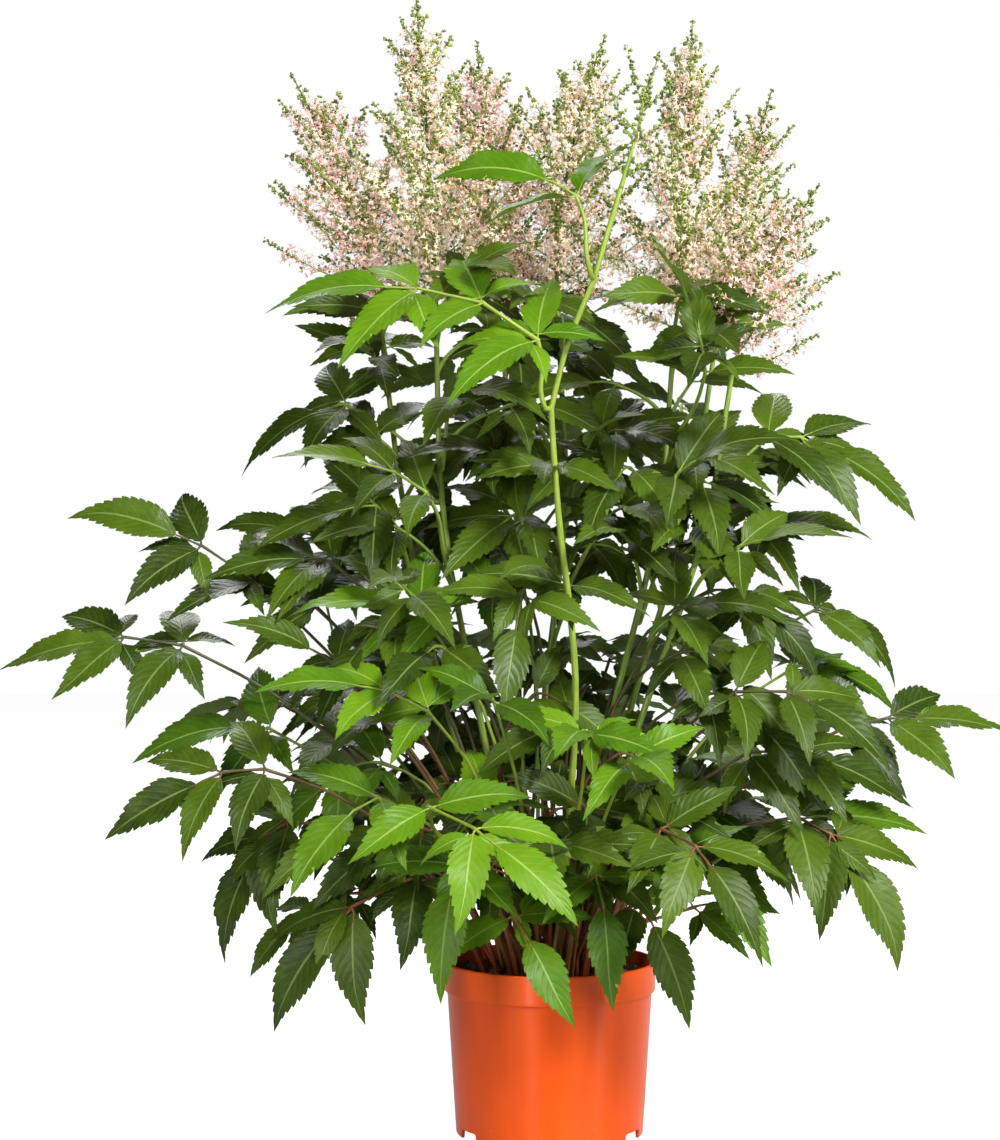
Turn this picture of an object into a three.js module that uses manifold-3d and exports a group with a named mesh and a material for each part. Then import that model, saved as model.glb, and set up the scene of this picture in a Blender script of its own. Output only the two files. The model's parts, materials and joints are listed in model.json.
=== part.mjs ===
// A flowering astilbe plant standing in its nursery pot.
// Millimetres, +Z up, origin on the ground under the middle of the pot, front of the plant at -Y.

import * as THREE from "three";
import { mergeVertices } from "three/addons/utils/BufferGeometryUtils.js";
import Module from "manifold-3d";

const wasm = await Module();
wasm.setup();

// ---------------------------------------------------------------------------
// Driving dimensions
// ---------------------------------------------------------------------------

const CLEARANCE = 0.35;            // between solids that touch on the plant
const MARGIN = 0.5;                // between solids that pass each other

const POT_SIDES = 24;
const POT_HEIGHT = 121;
const RIM_RADIUS = 75;
const RIM_BAND = 21;
const RIM_STEP = 2.6;              // how far the rim stands out from the wall
const RIM_WALL = 2;
const RIM_DRAFT = 0.3;             // how far the band of the rim leans in towards its foot
const LIP_ROUND = [0.6, 1.2];      // rounding of the lip, across and down
const LEDGE = 5;                   // height of the slope inside, between the wall and the rim
const FOOT_RADIUS = 66;
const FOOT_WALL = 2;
const POT_WALL = 1.7;
const FLOOR_LIFT = 6.5;
const FLOOR_WALL = 1.7;
const PAD_RADIUS = 12;             // of the pad under the middle of the floor
const DRAFT = 0.5;                 // of the pad and the foot ring, over their height
const NOTCH_COUNT = 6;
const NOTCH_WIDTH = 20;
const NOTCH_HEIGHT = 6.5;
const NOTCH_DEPTH = 5;             // into the foot ring, from its outer face
const DRAIN_COUNT = 6;
const DRAIN_RADIUS = 5;
const DRAIN_CIRCLE = 38;
const DRAIN_SIDES = 6;

const SOIL_EDGE = 110;             // height of the soil at the wall of the pot
const SOIL_MOUND = 4;              // rise of the soil from the wall to the crown
const SOIL_LUMP = 1.6;             // of its lumps, from the lowest to the highest
const SOIL_RINGS = [22, 48];
const ROOT_DEPTH = 12;             // how far stalks go down into the soil
const ROOT_SPACING = 10.2;
const ROOT_ROUNDS = 80;            // of pushing the roots apart
const STEM_LEAN = [0.16, 0.3];     // where a stem stands in the soil, over where it is at mid-height
const CROWN_RADIUS = [16, 42];     // of the ring that the leaf stalks come up in, steep ones inside
const CROWN_FLAT = 44;             // that radius for a flat leaf, and how much it shrinks with steepness
const CROWN_SHRINK = 11;

const STEM_SIDES = 5;
const STEM_RADIUS = [3.2, 2.1];    // at the soil and under the plume
const STEM_SEGMENTS = 5;
const STEM_NODE = 5;               // stretch of a stem that a leaf grows from
const STEM_NODE_ROOM = 20;         // around a leaf's joint a stem has no ring of its own

const STALK_RADIUS = [2.3, 1.3];   // of a leaf, at its base and at its last leaflet
const NODE_LENGTH = 3.6;           // stretch of a stalk that a pair of leaflets grows from
const PETIOLE_LONG = 120;          // from this length on, a petiole has one more bend
const PETIOLE_BENDS = { short: [0.28, 0.66], long: [0.16, 0.42, 0.72], paired: [0.18, 0.4, 0.8] };
const LOW_PAIR = 0.62;             // place along the petiole of the low pair that some leaves have
const PETIOLE_PULL = [0.4, 0.35];  // how far its first and its last direction carry, over its length
const PETIOLE_LEAN = 0.75;         // how much a stalk leans to its leaf as it comes out of the soil
const STEM_LEAF_LEAN = 0.7;        // and as it leaves a flower stem
const RACHIS_TURN = 0.55;          // how much of the leaf's own direction it has at its first leaflets
const RACHIS_PULL = 0.45;
const RACHIS_SHORTEST = 0.25;      // over the length of a leaflet
const END_STALK = 0.22;            // bare end of the rachis, over the length of a leaflet
const PAIR_SPREAD = [64, 50];      // degrees from the rachis, of the first and of the last pair
const LEAFLET_STALK = 4.5;
const LEAFLET_DROOP = 0.12;
const LEAFLET_SIZE = { side: 0.9, last: 1.04 };
const PAIR_ROLL = 6;               // degrees that the leaflets of a pair are rolled apart
// How far single leaflets differ: lengths over that of the leaf, angles in degrees
const VARIATION = { size: 0.08, spread: 6, lift: 0.1, droop: 0.06, roll: 14, lastRoll: 10 };
const BLADE_RIB = 0.6;             // half the thickness of a leaflet along its midrib
const BLADE_ROOT = 0.9;            // half the width of a leaflet where its blade begins
const BLADE_FOLD = 0.2;            // how far each half of a blade is folded up
const BLADE_RISE = 0.14;
const BLADE_ARCH = 0.38;
const BLADE_ARCH_SPREAD = 0.12;
const BLADE_RIBS = [0, 0.5];
// Points on the toothed edge of a leaflet: place along its length, and half-width over its length
const EDGE = [[0.28, 0.215], [0.56, 0.17], [0.64, 0.11]];

const PLUME_AXIS_RADIUS = [2, 1.1];
const FLORET_PITCH = 20.5;           // between the clusters of florets along a raceme
const FLORET_RADIUS = [10, 5];     // of those clusters, at the root and at the tip of a raceme
const FLORET_WAIST = 0.5;
const SPIRE_SIZE = 0.72;           // size of the clusters at the top of a plume, over those at its foot
const PLUME_BEND = 0.45;           // how far a plume keeps the direction of its stem, over its length
const RACEME_NECK = 9;             // bare stretch at the root of a raceme
const NECK_RADIUS = 1.5;
const NECK_END = 0.8;              // place of the thickest point of the neck, along it
const WHORL_STEP = 35;
const WHORL_HEIGHT = 5;            // stretch of the plume's axis that a ring of racemes grows from
const WHORL_SPAN = [0.07, 0.76];   // place of the lowest ring along the axis, and their whole span
const RACEME_SHORTEST = 0.36;      // reach of the highest racemes, over that of the lowest
const RACEME_RISE = [26, 26];      // degrees that they rise from the axis: the lowest, and how much more
const RACEME_LIFT = 0.18;          // how far they curve up, over their length
const RACEME_VARIATION = { reach: 0.12, rise: 6, lift: 0.1 };
const SHRINK_STEPS = [1, 0.82, 0.66, 0.5, 0.36];
const SWING_STEPS = [0, 14, -14, 28, -28];
const WHORL_TURN = 0.8;            // rings of racemes from one sixth of a turn to the next
const AXIS_SPACE = { step: 6, radius: 2.5 };

const TONES = {
  dark: "#3d5a28",
  mid: "#4f7a2c",
  bright: "#6fa82e",
  stem: "#6f8f35",
  pink: "#e9c9bb",
  cream: "#d9cda4",
  bud: "#a9b86a",
};

// Flower stems: a point on the stem at mid-height, the foot and the tip of the plume, and the
// length of the plume's lowest racemes
const FLOWERS = [
  {
    bends: [[-66, 16, 270], [-102, 12, 430]], foot: [-122, 20, 584], tip: [-184, 18, 750],
    reach: 78, tone: "pink",
  },
  {
    bends: [[-40, -22, 250], [-74, -20, 430]], foot: [-80, -20, 588], tip: [-94, -22, 800],
    reach: 74, tone: "cream",
  },
  {
    bends: [[-20, 34, 260], [-22, 58, 440]], foot: [-36, 66, 584], tip: [-52, 72, 786],
    reach: 74, tone: "pink",
  },
  { bends: [[-4, 14, 280], [12, 18, 450]], foot: [6, 22, 584], tip: [40, 16, 778], reach: 72, tone: "cream" },
  {
    bends: [[16, -72, 330], [0, -92, 509], [26, -90, 585]],
    foot: [46, -84, 652],
    tip: [72, -80, 744],
    reach: 20,
    tone: "bud",
  },
  {
    bends: [[36, -14, 260], [76, -8, 430]], foot: [88, -12, 568], tip: [100, -14, 782],
    reach: 78, tone: "cream",
  },
  {
    bends: [[50, 34, 260], [102, 44, 440]], foot: [124, 56, 570], tip: [164, 58, 748],
    reach: 72, tone: "cream",
  },
  {
    bends: [[56, -34, 270], [106, -36, 420]], foot: [126, -46, 540], tip: [184, -52, 660],
    reach: 56, tone: "pink",
  },
];

const YOUNG_STEM = 4;              // place in the list of the stem that is still fresh green

// Leaves on the flower stems: number of the stem, height of the joint, first pair of leaflets,
// tip of the last leaflet, pairs of leaflets and length of a leaflet
const STEM_LEAVES = [
  { stem: 1, height: 470, head: [-144, 4, 513], tip: [-226, 0, 500], pairs: 1, blade: 68 },
  { stem: 1, height: 392, head: [-121, -34, 440], tip: [-184, -66, 438], pairs: 1, blade: 66 },
  { stem: 2, height: 400, head: [-86, -59, 449], tip: [-170, -101, 492], pairs: 2, blade: 63 },
  { stem: 2, height: 468, head: [-65, -58, 515], tip: [-26, -108, 528], pairs: 1, blade: 63 },
  { stem: 3, height: 430, head: [-56, 86, 478], tip: [-120, 172, 504], pairs: 2, blade: 68 },
  { stem: 3, height: 500, head: [-64, 107, 544], tip: [-70, 176, 556], pairs: 1, blade: 63 },
  { stem: 4, height: 428, head: [21, -26, 471], tip: [40, -80, 510], pairs: 1, blade: 63 },
  { stem: 4, height: 330, head: [14, -57, 386], tip: [-8, -122, 414], pairs: 1, blade: 66 },
  { stem: 5, height: 500, head: [-11, -99, 549], tip: [-180, -106, 610], pairs: 3, blade: 78 },
  { stem: 5, height: 590, head: [25, -100, 646], tip: [-40, -106, 706], pairs: 1, blade: 73 },
  { stem: 6, height: 470, head: [102, -92, 528], tip: [84, -150, 600], pairs: 2, blade: 64 },
  { stem: 6, height: 410, head: [85, -67, 460], tip: [122, -110, 492], pairs: 1, blade: 66 },
  { stem: 7, height: 440, head: [119, 85, 479], tip: [196, 164, 494], pairs: 2, blade: 68 },
  { stem: 8, height: 424, head: [152, -22, 488], tip: [264, -22, 470], pairs: 2, blade: 75 },
  { stem: 8, height: 346, head: [134, -39, 382], tip: [156, -48, 438], pairs: 1, blade: 42 },
  { stem: 8, height: 376, head: [125, -85, 411], tip: [168, -124, 428], pairs: 1, blade: 61 },
  { stem: 4, height: 372, head: [44, -34, 436], tip: [66, -86, 446], pairs: 1, blade: 64 },
  { stem: 2, height: 332, head: [-96, -72, 380], tip: [-112, -128, 402], pairs: 1, blade: 64 },
  { stem: 1, height: 340, head: [-134, 46, 392], tip: [-188, 88, 404], pairs: 1, blade: 66 },
  { stem: 3, height: 366, head: [-72, 74, 414], tip: [-110, 132, 424], pairs: 1, blade: 66 },
  { stem: 3, height: 400, head: [14, 104, 450], tip: [36, 168, 462], pairs: 1, blade: 66 },
  { stem: 4, height: 396, head: [50, 54, 456], tip: [64, 116, 474], pairs: 1, blade: 66 },
  { stem: 4, height: 470, head: [-22, 4, 524], tip: [-44, 62, 536], pairs: 1, blade: 62 },
  { stem: 6, height: 360, head: [84, 30, 410], tip: [126, 82, 424], pairs: 1, blade: 66 },
  { stem: 7, height: 380, head: [142, 22, 428], tip: [204, 6, 438], pairs: 1, blade: 66 },
  { stem: 2, height: 446, head: [-122, -6, 490], tip: [-146, 50, 494], pairs: 1, blade: 62 },
];

// Leaves from the crown: first pair of leaflets, tip of the last leaflet, pairs and leaflet length,
// and whether the petiole has one more pair low down
const CROWN_LEAVES = [
  { head: [-255, -29, 343], tip: [-380, -36, 352], pairs: 2, low: true, blade: 70, tone: "dark" },
  { head: [-210, -10, 386], tip: [-324, -12, 454], pairs: 2, low: true, blade: 73, tone: "dark" },
  { head: [-181, 57, 377], tip: [-166, 92, 450], pairs: 1, low: true, blade: 68, tone: "mid" },
  { head: [-190, -39, 287], tip: [-274, -52, 300], pairs: 1, blade: 73, tone: "mid" },
  { head: [-194, -78, 264], tip: [-302, -96, 246], pairs: 2, low: true, blade: 68, tone: "dark" },
  { head: [-157, -63, 241], tip: [-236, -92, 184], pairs: 2, low: true, blade: 70, tone: "dark" },
  { head: [-100, -76, 188], tip: [-212, -116, 122], pairs: 2, blade: 73, tone: "dark" },
  { head: [-79, -93, 302], tip: [-176, -130, 348], pairs: 2, low: true, blade: 66, tone: "bright" },
  { head: [-73, -60, 369], tip: [-146, -84, 404], pairs: 1, blade: 68, tone: "bright" },
  { head: [-114, -119, 246], tip: [-172, -190, 224], pairs: 1, blade: 68, tone: "mid" },
  { head: [-80, -152, 243], tip: [4, -244, 208], pairs: 2, blade: 68, tone: "bright" },
  { head: [-60, -115, 201], tip: [-84, -184, 156], pairs: 1, blade: 66, tone: "mid" },
  { head: [-39, -135, 310], tip: [-58, -204, 334], pairs: 1, blade: 61, tone: "mid" },
  { head: [15, -125, 289], tip: [0, -196, 306], pairs: 1, blade: 61, tone: "bright" },
  { head: [55, -123, 274], tip: [72, -194, 296], pairs: 1, blade: 63, tone: "bright" },
  { head: [-26, -83, 163], tip: [6, -148, 124], pairs: 1, blade: 61, tone: "bright" },
  { head: [29, -87, 190], tip: [44, -152, 138], pairs: 1, blade: 61, tone: "mid" },
  { head: [57, -70, 169], tip: [102, -126, 126], pairs: 1, blade: 66, tone: "dark" },
  { head: [71, -118, 225], tip: [136, -200, 186], pairs: 2, blade: 65, tone: "dark" },
  { head: [203, -17, 284], tip: [320, -24, 304], pairs: 2, low: true, blade: 70, tone: "dark" },
  { head: [166, -69, 228], tip: [258, -98, 160], pairs: 2, blade: 77, tone: "dark" },
  { head: [172, -19, 221], tip: [252, -32, 236], pairs: 1, low: true, blade: 68, tone: "mid" },
  { head: [134, -58, 271], tip: [246, -78, 264], pairs: 2, blade: 66, tone: "dark" },
  { head: [191, 25, 367], tip: [262, 34, 352], pairs: 1, low: true, blade: 63, tone: "dark" },
  { head: [192, 44, 321], tip: [284, 64, 312], pairs: 2, low: true, blade: 66, tone: "mid" },
  { head: [103, -95, 316], tip: [200, -152, 312], pairs: 2, low: true, blade: 63, tone: "dark" },
  { head: [96, -56, 364], tip: [150, -104, 386], pairs: 1, blade: 66, tone: "dark" },
  { head: [177, 107, 291], tip: [274, 166, 280], pairs: 2, low: true, blade: 70, tone: "dark" },
  { head: [95, 149, 336], tip: [146, 246, 338], pairs: 2, low: true, blade: 70, tone: "dark" },
  { head: [32, 162, 290], tip: [50, 276, 264], pairs: 2, low: true, blade: 73, tone: "mid" },
  { head: [-42, 156, 341], tip: [-66, 268, 352], pairs: 2, low: true, blade: 70, tone: "dark" },
  { head: [-106, 134, 282], tip: [-172, 226, 260], pairs: 2, low: true, blade: 70, tone: "dark" },
  { head: [-177, 87, 304], tip: [-280, 138, 306], pairs: 2, low: true, blade: 70, tone: "dark" },
  { head: [-61, 97, 217], tip: [-100, 186, 172], pairs: 1, blade: 66, tone: "mid" },
  { head: [-8, 96, 262], tip: [-14, 170, 262], pairs: 1, blade: 68, tone: "dark" },
  { head: [70, 88, 240], tip: [112, 148, 226], pairs: 1, blade: 68, tone: "dark" },
  { head: [-122, 24, 232], tip: [-194, 36, 212], pairs: 1, blade: 68, tone: "dark" },
  { head: [122, 48, 226], tip: [190, 74, 206], pairs: 1, blade: 68, tone: "dark" },
  { head: [-92, 66, 318], tip: [-140, 122, 330], pairs: 1, blade: 68, tone: "dark" },
  { head: [52, 72, 326], tip: [78, 140, 340], pairs: 1, blade: 68, tone: "dark" },
  { head: [-8, -52, 240], tip: [-10, -122, 244], pairs: 1, blade: 68, tone: "dark" },
  { head: [-128, 2, 316], tip: [-200, 8, 330], pairs: 1, blade: 68, tone: "dark" },
];

// ---------------------------------------------------------------------------
// Small helpers
// ---------------------------------------------------------------------------

const UP = new THREE.Vector3(0, 0, 1);
const FRONT = new THREE.Vector3(0, -1, 0);
const vector = ([x, y, z]) => new THREE.Vector3(x, y, z);
const mix = THREE.MathUtils.lerp;
const radians = THREE.MathUtils.degToRad;

// Draws between -1 and 1, the same on every run
function drawer(seed) {
  let state = Math.imul(seed + 11, 2654435761);
  return () => {
    state = (Math.imul(state ^ (state >>> 15), 2246822519) + 374761393) | 0;
    const word = Math.imul(state ^ (state >>> 13), 3266489917) >>> 0;
    return (word / 4294967295) * 2 - 1;
  };
}

// The direction, side and top of something that runs along a direction, seen against a reference
function frameAlong(direction, reference = UP) {
  const along = direction.clone().normalize();
  const side = new THREE.Vector3().crossVectors(reference, along).normalize();
  const top = new THREE.Vector3().crossVectors(along, side);
  return { along, side, top };
}

function rolled(frame, angle) {
  const side = frame.side.clone().applyAxisAngle(frame.along, angle);
  const top = frame.top.clone().applyAxisAngle(frame.along, angle);
  return { along: frame.along, side, top };
}

function offset(point, frame, along, side, top) {
  return point.clone()
    .addScaledVector(frame.along, along)
    .addScaledVector(frame.side, side)
    .addScaledVector(frame.top, top);
}

// ---------------------------------------------------------------------------
// A closed skin of triangles that grows loop by loop
// ---------------------------------------------------------------------------

class Skin {
  constructor() {
    this.points = [];
    this.corners = [];
  }

  add(point) {
    this.points.push(point);
    return this.points.length - 1;
  }

  centre(loop) {
    const sum = new THREE.Vector3();
    loop.forEach((corner) => sum.add(this.points[corner]));
    return sum.divideScalar(loop.length);
  }

  // Regular ring around a point, anticlockwise seen from the growing end
  ring(point, frame, radius, sides, twist = 0) {
    return Array.from({ length: sides }, (_, corner) => {
      const angle = radians(90 + twist + (corner * 360) / sides);
      return this.add(offset(point, frame, 0, Math.cos(angle) * radius, Math.sin(angle) * radius));
    });
  }

  // Covers a loop that runs anticlockwise seen from outside
  cap(loop) {
    for (let index = 1; index + 1 < loop.length; index += 1) {
      this.corners.push(loop[0], loop[index], loop[index + 1]);
    }
  }

  capBelow(loop) {
    this.cap([...loop].reverse());
  }

  // Closes a loop over a single point
  close(loop, tip) {
    loop.forEach((corner, index) => {
      this.corners.push(corner, loop[(index + 1) % loop.length], tip);
    });
  }

  // The four-sided walls between two rings of the same stalk, each as a loop
  walls(lower, upper) {
    return lower.map((corner, index) => {
      const next = (index + 1) % lower.length;
      return [corner, lower[next], upper[next], upper[index]];
    });
  }

  // Joins two loops that both run anticlockwise seen from the growing end, by the shortest spokes
  bridge(lower, grown) {
    const choices = grown.map((_, start) => {
      const upper = grown.map((__, index) => grown[(start + index) % grown.length]);
      return this.shortestZip(lower, upper);
    });
    const best = choices.reduce((first, second) => (second.cost < first.cost ? second : first));
    this.corners.push(...best.corners);
  }

  // The cheapest way to step round two loops from a common spoke, as triangles
  shortestZip(lower, upper) {
    const gap = (low, high) => {
      return this.points[lower[low % lower.length]].distanceTo(this.points[upper[high % upper.length]]);
    };
    const ways = [[{ cost: 0, corners: [] }]];
    const impossible = { cost: Infinity, corners: [] };
    for (let low = 0; low <= lower.length; low += 1) {
      ways[low] ??= [];
      for (let high = 0; high <= upper.length; high += 1) {
        const lead = (low * upper.length) / lower.length - high;
        if (Math.abs(lead) > 1) {
          ways[low][high] = impossible;
        } else if (low + high > 0) {
          const alongLower = ways[low - 1]?.[high] ?? impossible;
          const alongUpper = ways[low][high - 1] ?? impossible;
          const before = alongLower.cost < alongUpper.cost ? alongLower : alongUpper;
          const corner = before === alongLower
            ? [lower[low - 1], lower[low % lower.length], upper[high % upper.length]]
            : [lower[low % lower.length], upper[high % upper.length], upper[high - 1]];
          ways[low][high] = { cost: before.cost + gap(low, high), corners: [...before.corners, ...corner] };
        }
      }
    }
    return ways[lower.length][upper.length];
  }

  // Fills between two lines of a blade that end at the same tip, alike on both faces
  strip(left, right) {
    const leftLast = left.ids.length - 2;
    const rightLast = right.ids.length - 2;
    let near = 0;
    let far = 0;
    while (near < leftLast || far < rightLast) {
      const leftPlace = near < leftLast ? left.places[near + 1] : Infinity;
      const rightPlace = far < rightLast ? right.places[far + 1] : Infinity;
      if (leftPlace < rightPlace) {
        this.corners.push(left.ids[near], right.ids[far], left.ids[near + 1]);
        near += 1;
      } else {
        this.corners.push(left.ids[near], right.ids[far], right.ids[far + 1]);
        far += 1;
      }
    }
    this.corners.push(left.ids[near], right.ids[far], left.ids[near + 1]);
  }

  // Grows a finished skin from a wall, in place of that skin's first ring's cap
  graft(wall, branch, matrix) {
    const first = this.points.length;
    branch.points.forEach((point) => this.add(point.clone().applyMatrix4(matrix)));
    branch.corners.slice(3).forEach((corner) => this.corners.push(first + corner));
    this.bridge(wall, [first, first + 1, first + 2]);
  }

  geometry() {
    const geometry = new THREE.BufferGeometry();
    const places = this.points.flatMap((point) => point.toArray());
    geometry.setAttribute("position", new THREE.Float32BufferAttribute(places, 3));
    geometry.setIndex(this.corners);
    return geometry;
  }
}

// ---------------------------------------------------------------------------
// Solids, for cutting and for finding what passes clear
// ---------------------------------------------------------------------------

function solidOf(geometry) {
  const shape = geometry.clone();
  shape.deleteAttribute("normal");
  shape.deleteAttribute("uv");
  const merged = mergeVertices(shape, 1e-3);
  const vertProperties = new Float32Array(merged.attributes.position.array);
  const triVerts = new Uint32Array(merged.index.array);
  return new wasm.Manifold(new wasm.Mesh({ numProp: 3, vertProperties, triVerts }));
}

function geometryOf(solid) {
  const mesh = solid.getMesh();
  const geometry = new THREE.BufferGeometry();
  geometry.setAttribute("position", new THREE.BufferAttribute(mesh.vertProperties, 3));
  geometry.setIndex(new THREE.BufferAttribute(mesh.triVerts, 1));
  return geometry;
}

function boxesMeet(first, second) {
  return [0, 1, 2].every((axis) => first.min[axis] < second.max[axis] && second.min[axis] < first.max[axis]);
}

const placed = [];                 // the solids that later ones are kept clear of

function remember(name, solid) {
  placed.push({ name, solid, box: solid.boundingBox() });
}

function isClear(solid, exceptName) {
  const box = solid.boundingBox();
  return placed.every((other) => {
    return other.name === exceptName || !boxesMeet(box, other.box) || solid.intersect(other.solid).isEmpty();
  });
}

// ---------------------------------------------------------------------------
// Pot
// ---------------------------------------------------------------------------

const POT_SLOPE = (RIM_RADIUS - RIM_STEP - FOOT_RADIUS) / (POT_HEIGHT - RIM_BAND);
const WALL_TOP = POT_HEIGHT - RIM_BAND;
const FLOOR_TOP = FLOOR_LIFT + FLOOR_WALL;
const wallRadius = (height) => FOOT_RADIUS + POT_SLOPE * height;
const SHOULDER = [wallRadius(WALL_TOP) - POT_WALL, WALL_TOP - 0.4 * LEDGE];
const RIM_INSIDE = [RIM_RADIUS - RIM_WALL - DRAFT, WALL_TOP + 0.6 * LEDGE];

function turned(profile) {
  const outline = profile.map(([radius, height]) => new THREE.Vector2(radius, height));
  return new THREE.LatheGeometry(outline, POT_SIDES).rotateX(radians(90));
}

function makePot() {
  const profile = [
    [0, 0],
    [PAD_RADIUS, 0],
    [PAD_RADIUS + DRAFT, FLOOR_LIFT],
    [FOOT_RADIUS - FOOT_WALL - DRAFT, FLOOR_LIFT],
    [FOOT_RADIUS - FOOT_WALL, 0],
    [FOOT_RADIUS, 0],
    [wallRadius(WALL_TOP), WALL_TOP],
    [RIM_RADIUS - RIM_DRAFT, WALL_TOP],
    [RIM_RADIUS, POT_HEIGHT - LIP_ROUND[1]],
    [RIM_RADIUS - LIP_ROUND[0], POT_HEIGHT],
    [RIM_RADIUS - RIM_WALL, POT_HEIGHT],
    RIM_INSIDE,
    SHOULDER,
    [wallRadius(FLOOR_TOP) - POT_WALL, FLOOR_TOP],
    [0, FLOOR_TOP],
  ];
  let pot = solidOf(turned(profile));
  for (let index = 0; index < NOTCH_COUNT; index += 1) {
    const notch = new THREE.BoxGeometry(NOTCH_WIDTH, 2 * NOTCH_DEPTH, 2 * NOTCH_HEIGHT);
    notch.translate(0, -FOOT_RADIUS, 0).rotateZ(radians((index * 360) / NOTCH_COUNT));
    pot = pot.subtract(solidOf(notch));
  }
  for (let index = 0; index < DRAIN_COUNT; index += 1) {
    const drain = new THREE.CylinderGeometry(DRAIN_RADIUS, DRAIN_RADIUS, 4 * FLOOR_WALL, DRAIN_SIDES);
    drain.rotateX(radians(90)).translate(DRAIN_CIRCLE, 0, FLOOR_LIFT + FLOOR_WALL / 2);
    drain.rotateZ(radians((index * 360) / DRAIN_COUNT));
    pot = pot.subtract(solidOf(drain));
  }
  return pot;
}

// ---------------------------------------------------------------------------
// Soil
// ---------------------------------------------------------------------------

function soilHeight(radius, angle) {
  const mound = SOIL_MOUND * (1 - (radius / RIM_RADIUS) ** 2);
  const lumps = Math.sin(radius * 0.23 + 3 * angle) + Math.sin(radius * 0.11 - 5 * angle + 1);
  return SOIL_EDGE + mound + lumps * SOIL_LUMP * 0.5;
}

function makeSoil() {
  const skin = new Skin();
  const ring = (radius, heightAt) => Array.from({ length: POT_SIDES }, (_, index) => {
    const angle = (index / POT_SIDES) * 2 * Math.PI;
    return skin.add(vector([radius * Math.cos(angle), radius * Math.sin(angle), heightAt(angle)]));
  });
  const edgeRadius = RIM_INSIDE[0] - CLEARANCE;
  const sides = [
    ring(wallRadius(FLOOR_TOP) - POT_WALL - CLEARANCE, () => FLOOR_TOP + CLEARANCE),
    ring(SHOULDER[0] - CLEARANCE, () => SHOULDER[1] + CLEARANCE),
    ring(edgeRadius, () => RIM_INSIDE[1] + CLEARANCE),
    ring(edgeRadius, (angle) => soilHeight(edgeRadius, angle)),
  ];
  const rings = [...SOIL_RINGS].reverse().map((radius) => ring(radius, (angle) => soilHeight(radius, angle)));
  const loops = [...sides, ...rings];
  loops.slice(1).forEach((loop, index) => skin.walls(loops[index], loop).forEach((wall) => skin.cap(wall)));
  skin.capBelow(loops[0]);
  skin.close(loops.at(-1), skin.add(vector([0, 0, soilHeight(0, 0)])));
  return solidOf(skin.geometry());
}

// Feet of the stalks in the soil: each under its own direction, and pushed apart from the others
function spreadRoots(wishes) {
  const roots = wishes.map(([x, y]) => new THREE.Vector2(x, y));
  for (let round = 0; round < ROOT_ROUNDS; round += 1) {
    roots.forEach((root, index) => {
      roots.slice(index + 1).forEach((other) => {
        const between = other.clone().sub(root);
        const lack = ROOT_SPACING - between.length();
        if (lack > 0) {
          between.setLength(lack / 2);
          other.add(between);
          root.sub(between);
        }
      });
    });
  }
  return roots.map((root) => {
    const height = soilHeight(root.length(), root.angle());
    return vector([root.x, root.y, height - ROOT_DEPTH]);
  });
}

// ---------------------------------------------------------------------------
// Leaves
// ---------------------------------------------------------------------------

// A leaflet: a thin lens along an arched midrib, folded up a little, with a toothed edge
function growLeaflet(skin, loop, start, frame, length, arch, swell) {
  const midrib = (place) => {
    const rise = length * (BLADE_RISE * place - arch * place * place);
    return offset(start, frame, length * place, 0, rise);
  };
  const tip = skin.add(midrib(1 + (2 * swell) / length));
  const ribLine = (up) => ({
    places: [...BLADE_RIBS, 1],
    ids: [...BLADE_RIBS.map((place) => skin.add(offset(midrib(place), frame, 0, 0, up))), tip],
  });
  const edgeLine = (sign) => {
    const outline = [[0, BLADE_ROOT / length], ...EDGE];
    const ids = outline.map(([place, width]) => {
      const reach = width * length + swell;
      return skin.add(offset(midrib(place), frame, 0, sign * reach, BLADE_FOLD * width * length));
    });
    return { places: [...outline.map(([place]) => place), 1], ids: [...ids, tip] };
  };
  const lines = [edgeLine(1), ribLine(BLADE_RIB + swell), edgeLine(-1), ribLine(-BLADE_RIB - swell)];
  skin.bridge(loop, lines.map((line) => line.ids[0]));
  lines.forEach((line, index) => skin.strip(line, lines[(index + 1) % lines.length]));
}

// The way of a leaf's stalk, from its root to its last leaflet
function leafRoute(start, launch, head, tip, blade) {
  const reach = head.distanceTo(start);
  const onward = tip.clone().sub(head);
  const arrival = onward.clone().normalize().multiplyScalar(RACHIS_TURN)
    .add(head.clone().sub(start).normalize().multiplyScalar(1 - RACHIS_TURN)).normalize();
  const petiole = new THREE.CubicBezierCurve3(
    start,
    start.clone().addScaledVector(launch, PETIOLE_PULL[0] * reach),
    head.clone().addScaledVector(arrival, -PETIOLE_PULL[1] * reach),
    head,
  );
  const rachisLength = Math.max(onward.length() - blade, RACHIS_SHORTEST * blade);
  const end = head.clone().add(onward.setLength(rachisLength));
  const bend = head.clone().addScaledVector(arrival, RACHIS_PULL * rachisLength);
  const rachis = new THREE.QuadraticBezierCurve3(head, bend, end);
  return { petiole, rachis };
}

// The way the upper face of a leaf looks: up, and to the front or outwards behind the plant
const BEHIND = 70;
const FACING_LEAN = { outward: 0.5, front: 0.8 };

function facingOf(head) {
  const outward = head.clone().setZ(0).normalize().multiplyScalar(FACING_LEAN.outward);
  const lean = head.y > BEHIND ? outward : FRONT.clone().multiplyScalar(FACING_LEAN.front);
  return lean.add(UP).normalize();
}

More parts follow.
